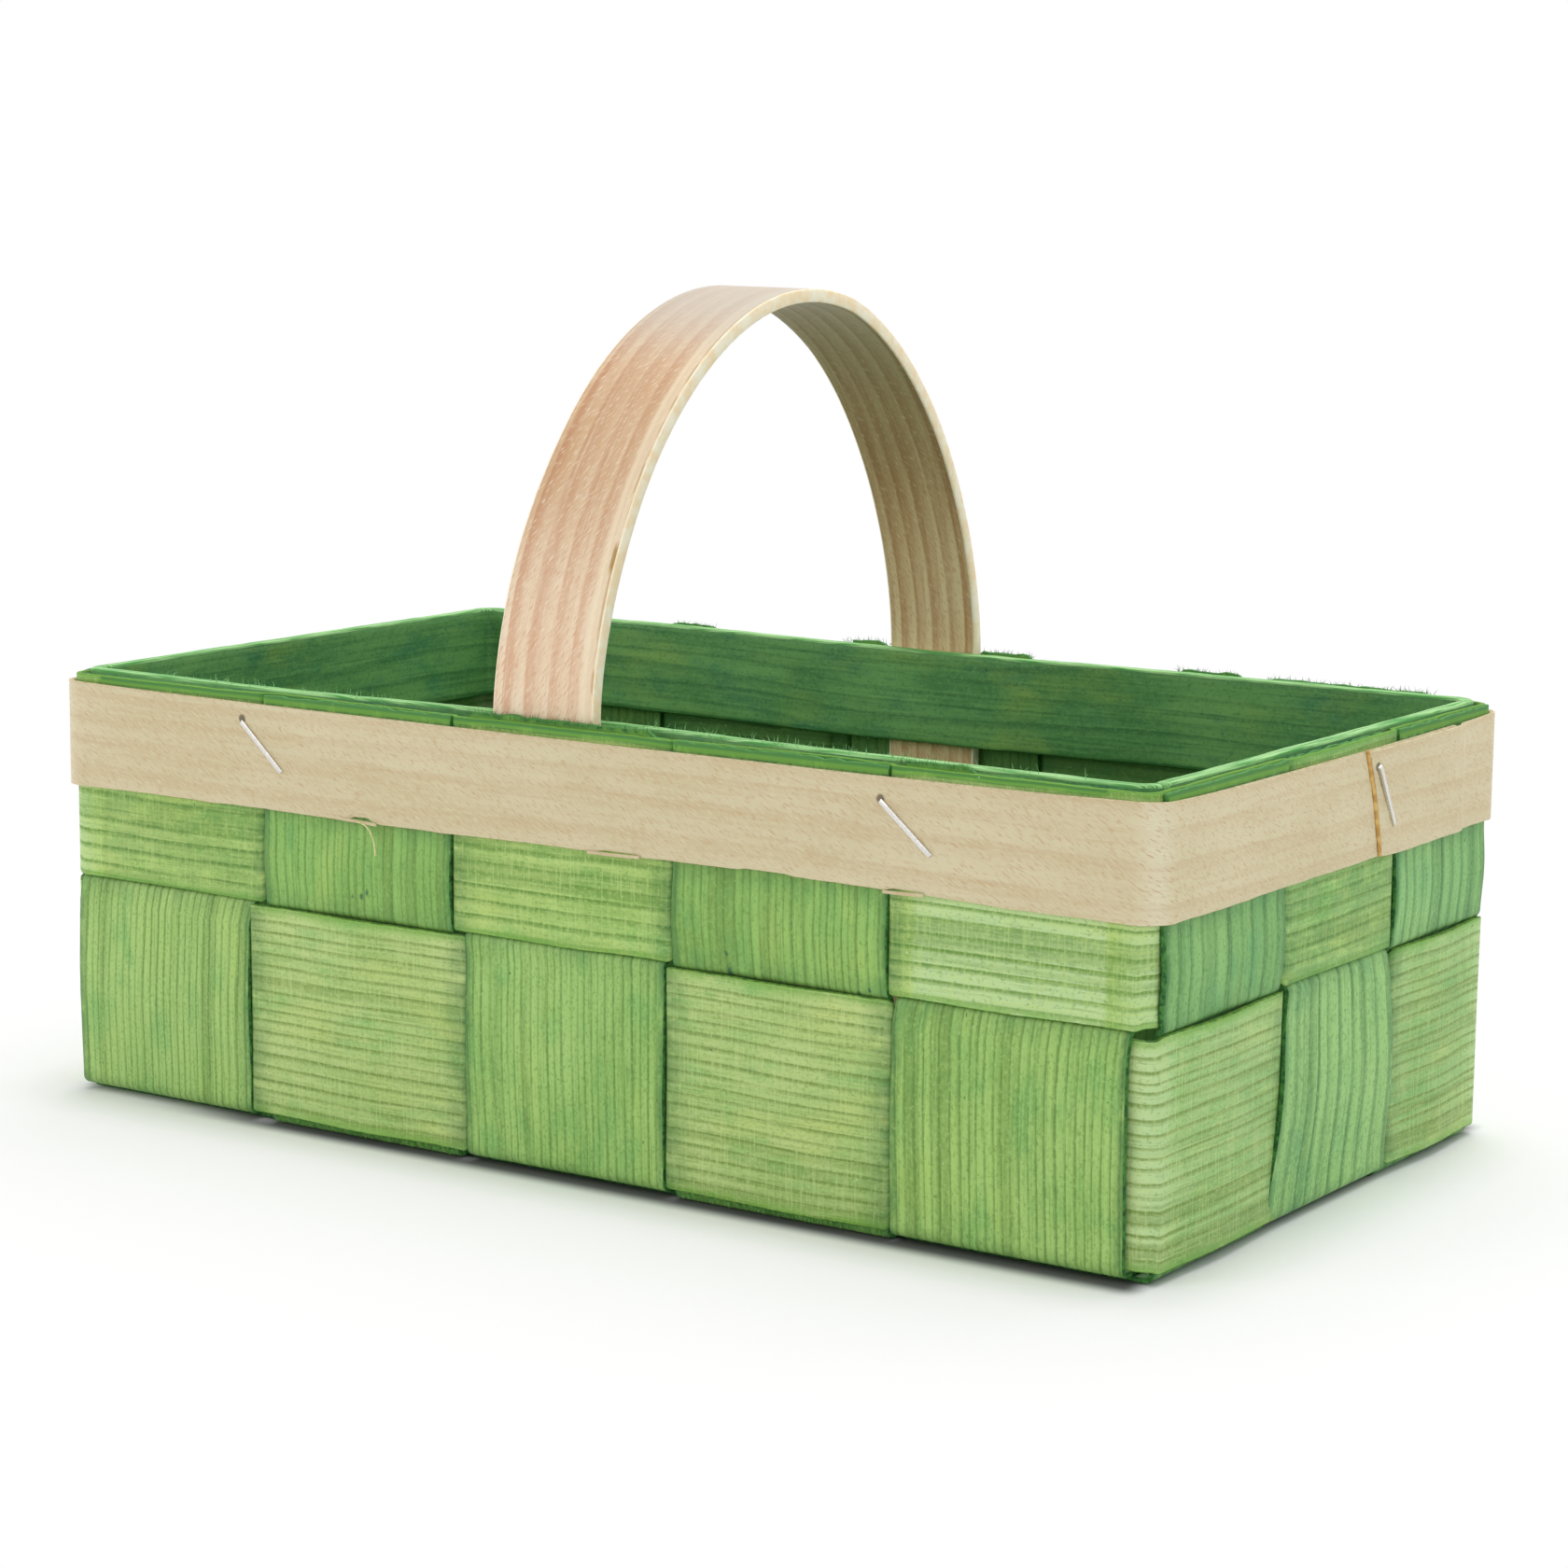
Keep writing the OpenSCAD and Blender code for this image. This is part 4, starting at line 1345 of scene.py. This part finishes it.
bead = lay_strip("glue_bead", points, Vector((0, bead_width, 0)), bead_thick, 6, bead_shift, edge=0.0001)
glue, tree, surface = new_finish("amber_glue")
thick = fade(tree, cloud(tree, spot_on_object(tree), scale=520.0), 0.35, 0.65)
amber = mixed(tree, thick, shade(226, 184, 104), shade(190, 138, 56))
fill(tree, surface, {"Base Color": amber, "Roughness": 0.35})
dress(bead, glue, glue, glue, None)

sliver_foot = band_foot + 0.0007
sliver_height = 0.00055
sliver_thick = 0.00018
for number, (place, reach, height) in enumerate(band_chips[:3], 1):
    points = []
    for k in range(9):
        part = k / 8
        curl = math.copysign(0.00025, height - 0.0005) * part * part
        along = place + reach * (2.6 * part - 1.4)
        points.append(Vector((along, -band_out_y - 0.00015 - 0.0002 * part, sliver_foot - curl)))
    side = Vector((0, 0, sliver_height))
    sliver = lay_strip(f"band_sliver_{number}", points, side, sliver_thick, 2, edge=0.00004)
    dress(sliver, veneer_face, veneer_edge, veneer_face, None)

splinter_top = (-0.0436, -band_out_y - 0.0004, band_foot + 0.0006)
splinter_swing = 0.0042
splinter_hang = 0.0056
points = []
for k in range(13):
    part = k / 12
    swung = Vector((splinter_swing * math.sin(part * 1.5), 0, -splinter_hang * part ** 2.2))
    points.append(Vector(splinter_top) + swung)
splinter_wide = 0.00028
splinter_deep = 0.0002
splinter = lay_strip("band_splinter", points, Vector((0, splinter_deep, 0)), splinter_wide, 1, edge=0.00004)
finish = cut_edge("pale_splinter", shade(196, 198, 128), shade(226, 220, 168), 9.1)
dress(splinter, finish, finish, finish, None)


# Staples: flat galvanised wire, driven on the slant through the band, the weave and the inner band.
# Two hidden ones hold the handle's legs to the weave.

wire_width = 0.0008
wire_thick = 0.0005
wire_bend = 0.00025
staple_half = 0.00635 - wire_thick / 2
staple_z = 0.06824
rim_leg = 0.0052
handle_leg = 0.0032


def staple_path(leg):
    """The middle of the wire, with the crown's outer face on y = -wire_thick."""
    high = -wire_thick / 2
    left = Vector((wire_bend - staple_half, high + wire_bend))
    right = Vector((staple_half - wire_bend, high + wire_bend))
    points = [Vector((-staple_half, leg)), Vector((-staple_half, left.y))]
    points += arc(left, wire_bend, 180, 270, 5) + [Vector((right.x, high))]
    return points + arc(right, wire_bend, 270, 360, 5) + [Vector((staple_half, leg))]


wire, tree, surface = new_finish("galvanised_wire")
scuff = cloud(tree, spot_on_object(tree), 3.0, scale=2200.0)
zinc = mixed(tree, scuff, shade(196, 194, 190), shade(244, 242, 238))
dull = reckon(tree, "MULTIPLY_ADD", scuff, 0.25, 0.12)
fill(tree, surface, {"Base Color": zinc, "Roughness": dull, "Metallic": 1.0})

# For each staple: its wall, how far out and how far along it sits, its height, its slant and its legs.
on_weave = mid_y + weave_face - wire_thick
on_lap = band_out_x + band_ply
staples = {
    "staple_front_left": (0, band_out_y, cross_gaps[0] + 0.0012, staple_z + 0.0008, 42, rim_leg),
    "staple_front_right": (0, band_out_y, cross_gaps[3] + 0.0024, staple_z + 0.0004, 40, rim_leg),
    "staple_right": (1, on_lap, long_gaps[1] - 0.0064, staple_z - 0.0001, 60, rim_leg),
    "staple_back_left": (2, band_out_y, cross_gaps[3], staple_z, 41, rim_leg),
    "staple_back_right": (2, band_out_y, cross_gaps[0], staple_z, 41, rim_leg),
    "staple_left": (3, band_out_x, long_gaps[1], staple_z, 60, rim_leg),
    "handle_staple_front": (0, on_weave, handle_x, staple_z, 0, handle_leg),
    "handle_staple_back": (2, on_weave, -handle_x, staple_z, 0, handle_leg),
}
for node, (wall, away, along, height, slant, leg) in staples.items():
    path = [Vector((p.x, p.y, 0)) for p in fine_steps(staple_path(leg), 0.0015)]
    name = node.replace("staple", "wire")
    bent = lay_strip(name, path, Vector((0, 0, wire_width)), wire_thick, 2, edge=0.0002)
    seat = Matrix.Rotation(math.radians(90 * wall), 4, "Z") @ Matrix.Translation((along, -away, height))
    bent.data.transform(seat @ Matrix.Rotation(math.radians(slant), 4, "Y"))
    dress(bent, wire, wire, wire, node)


# Torn fibres: the tufts that the saw and the knife left on the rim and under the weave.
# One bent spike is modelled, then copied, and each tuft is joined into one piece.

bpy.ops.mesh.primitive_cone_add(vertices=3, radius1=0.05, radius2=0.006, depth=1, end_fill_type="NGON")
spike = bpy.context.object
bpy.ops.object.mode_set(mode="EDIT")
bpy.ops.mesh.select_all(action="SELECT")
bpy.ops.mesh.subdivide(number_cuts=2)
bpy.ops.object.mode_set(mode="OBJECT")
spike_bend = 0.35
for vertex in spike.data.vertices:
    rise = vertex.co.z + 0.5
    vertex.co = Vector((vertex.co.x + spike_bend * rise * rise, vertex.co.y, rise))
spike.select_set(False)


def tuft(name, spots, finish, thick):
    """Stands a copy of the spike at each spot: its place, its length, its lean and its turn."""
    copies = []
    for place, length, lean, turn in spots:
        copy = spike.copy()
        copy.data = spike.data.copy()
        leaning = Matrix.Rotation(turn, 4, "Z") @ Matrix.Rotation(lean, 4, "Y")
        copy.data.transform(Matrix.Translation(place) @ leaning @ Matrix.Diagonal((thick, thick, length, 1)))
        scene.collection.objects.link(copy)
        copies.append(copy)
    for copy in copies:
        copy.select_set(True)
    bpy.context.view_layer.objects.active = copies[0]
    bpy.ops.object.join()
    joined = bpy.context.object
    joined.name = name
    joined.data.name = name
    joined.data.materials.append(finish)
    joined.select_set(False)
    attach(joined, "root")


draw = random.Random(41)
whole_turn = 6.28
mint_fibre = cut_edge("mint_fibre", shade(96, 172, 92), shade(178, 224, 168), 3.7)
spots = []
for k in range(260):
    along = draw.gauss(0.046, 0.026) if k % 3 else draw.uniform(-0.095, -0.040)
    if -0.1 < along < 0.100:
        deep = -(at_long - bowed(along - handle_x)) + draw.uniform(-0.0012, 0.0006)
        place = Vector((along, deep, hoop_top + 0.0001))
        length = draw.uniform(0.0006, 0.0019)
        spots.append((place, length, draw.uniform(-1.1, 1.1), draw.uniform(0, whole_turn)))
tuft("hoop_fibres", spots, mint_fibre, 0.0014)

dark_fibre = cut_edge("dark_fibre", shade(38, 92, 44), shade(92, 150, 70), 4.9)
fibre_pitch = 0.00025
spots = []
for low, high in standing_front + standing_back:
    wall_y = -mid_y if (low, high) in standing_front else mid_y
    for k in range(int((high - low) / fibre_pitch)):
        along = draw.uniform(low, high)
        place = Vector((along, wall_y + draw.uniform(-0.0009, 0.0009), wall_top + 0.0004))
        length = draw.uniform(0.0005, 0.0013)
        spots.append((place, length, draw.uniform(-0.6, 0.6), draw.uniform(0, whole_turn)))
tuft("splint_end_fibres", spots, dark_fibre, 0.0018)

green_fibre = cut_edge("green_fibre", shade(76, 146, 66), shade(134, 200, 100), 5.6)
spots = []
for low, high in ((-0.0655, -0.0240), (0.0235, 0.0655)):
    for k in range(220):
        along = draw.uniform(low, high)
        deep = 0.0004 - mid_y + draw.uniform(-0.0005, 0.0)
        place = Vector((along, deep, draw.uniform(0.0014, 0.0018)))
        turn = draw.uniform(-0.9, 0.9) - math.pi / 2
        spots.append((place, draw.uniform(0.0006, 0.0011), math.pi - draw.uniform(0.7, 1.2), turn))
tuft("foot_fibres", spots, green_fibre, 0.0018)
bpy.data.objects.remove(spike)


low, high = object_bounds()
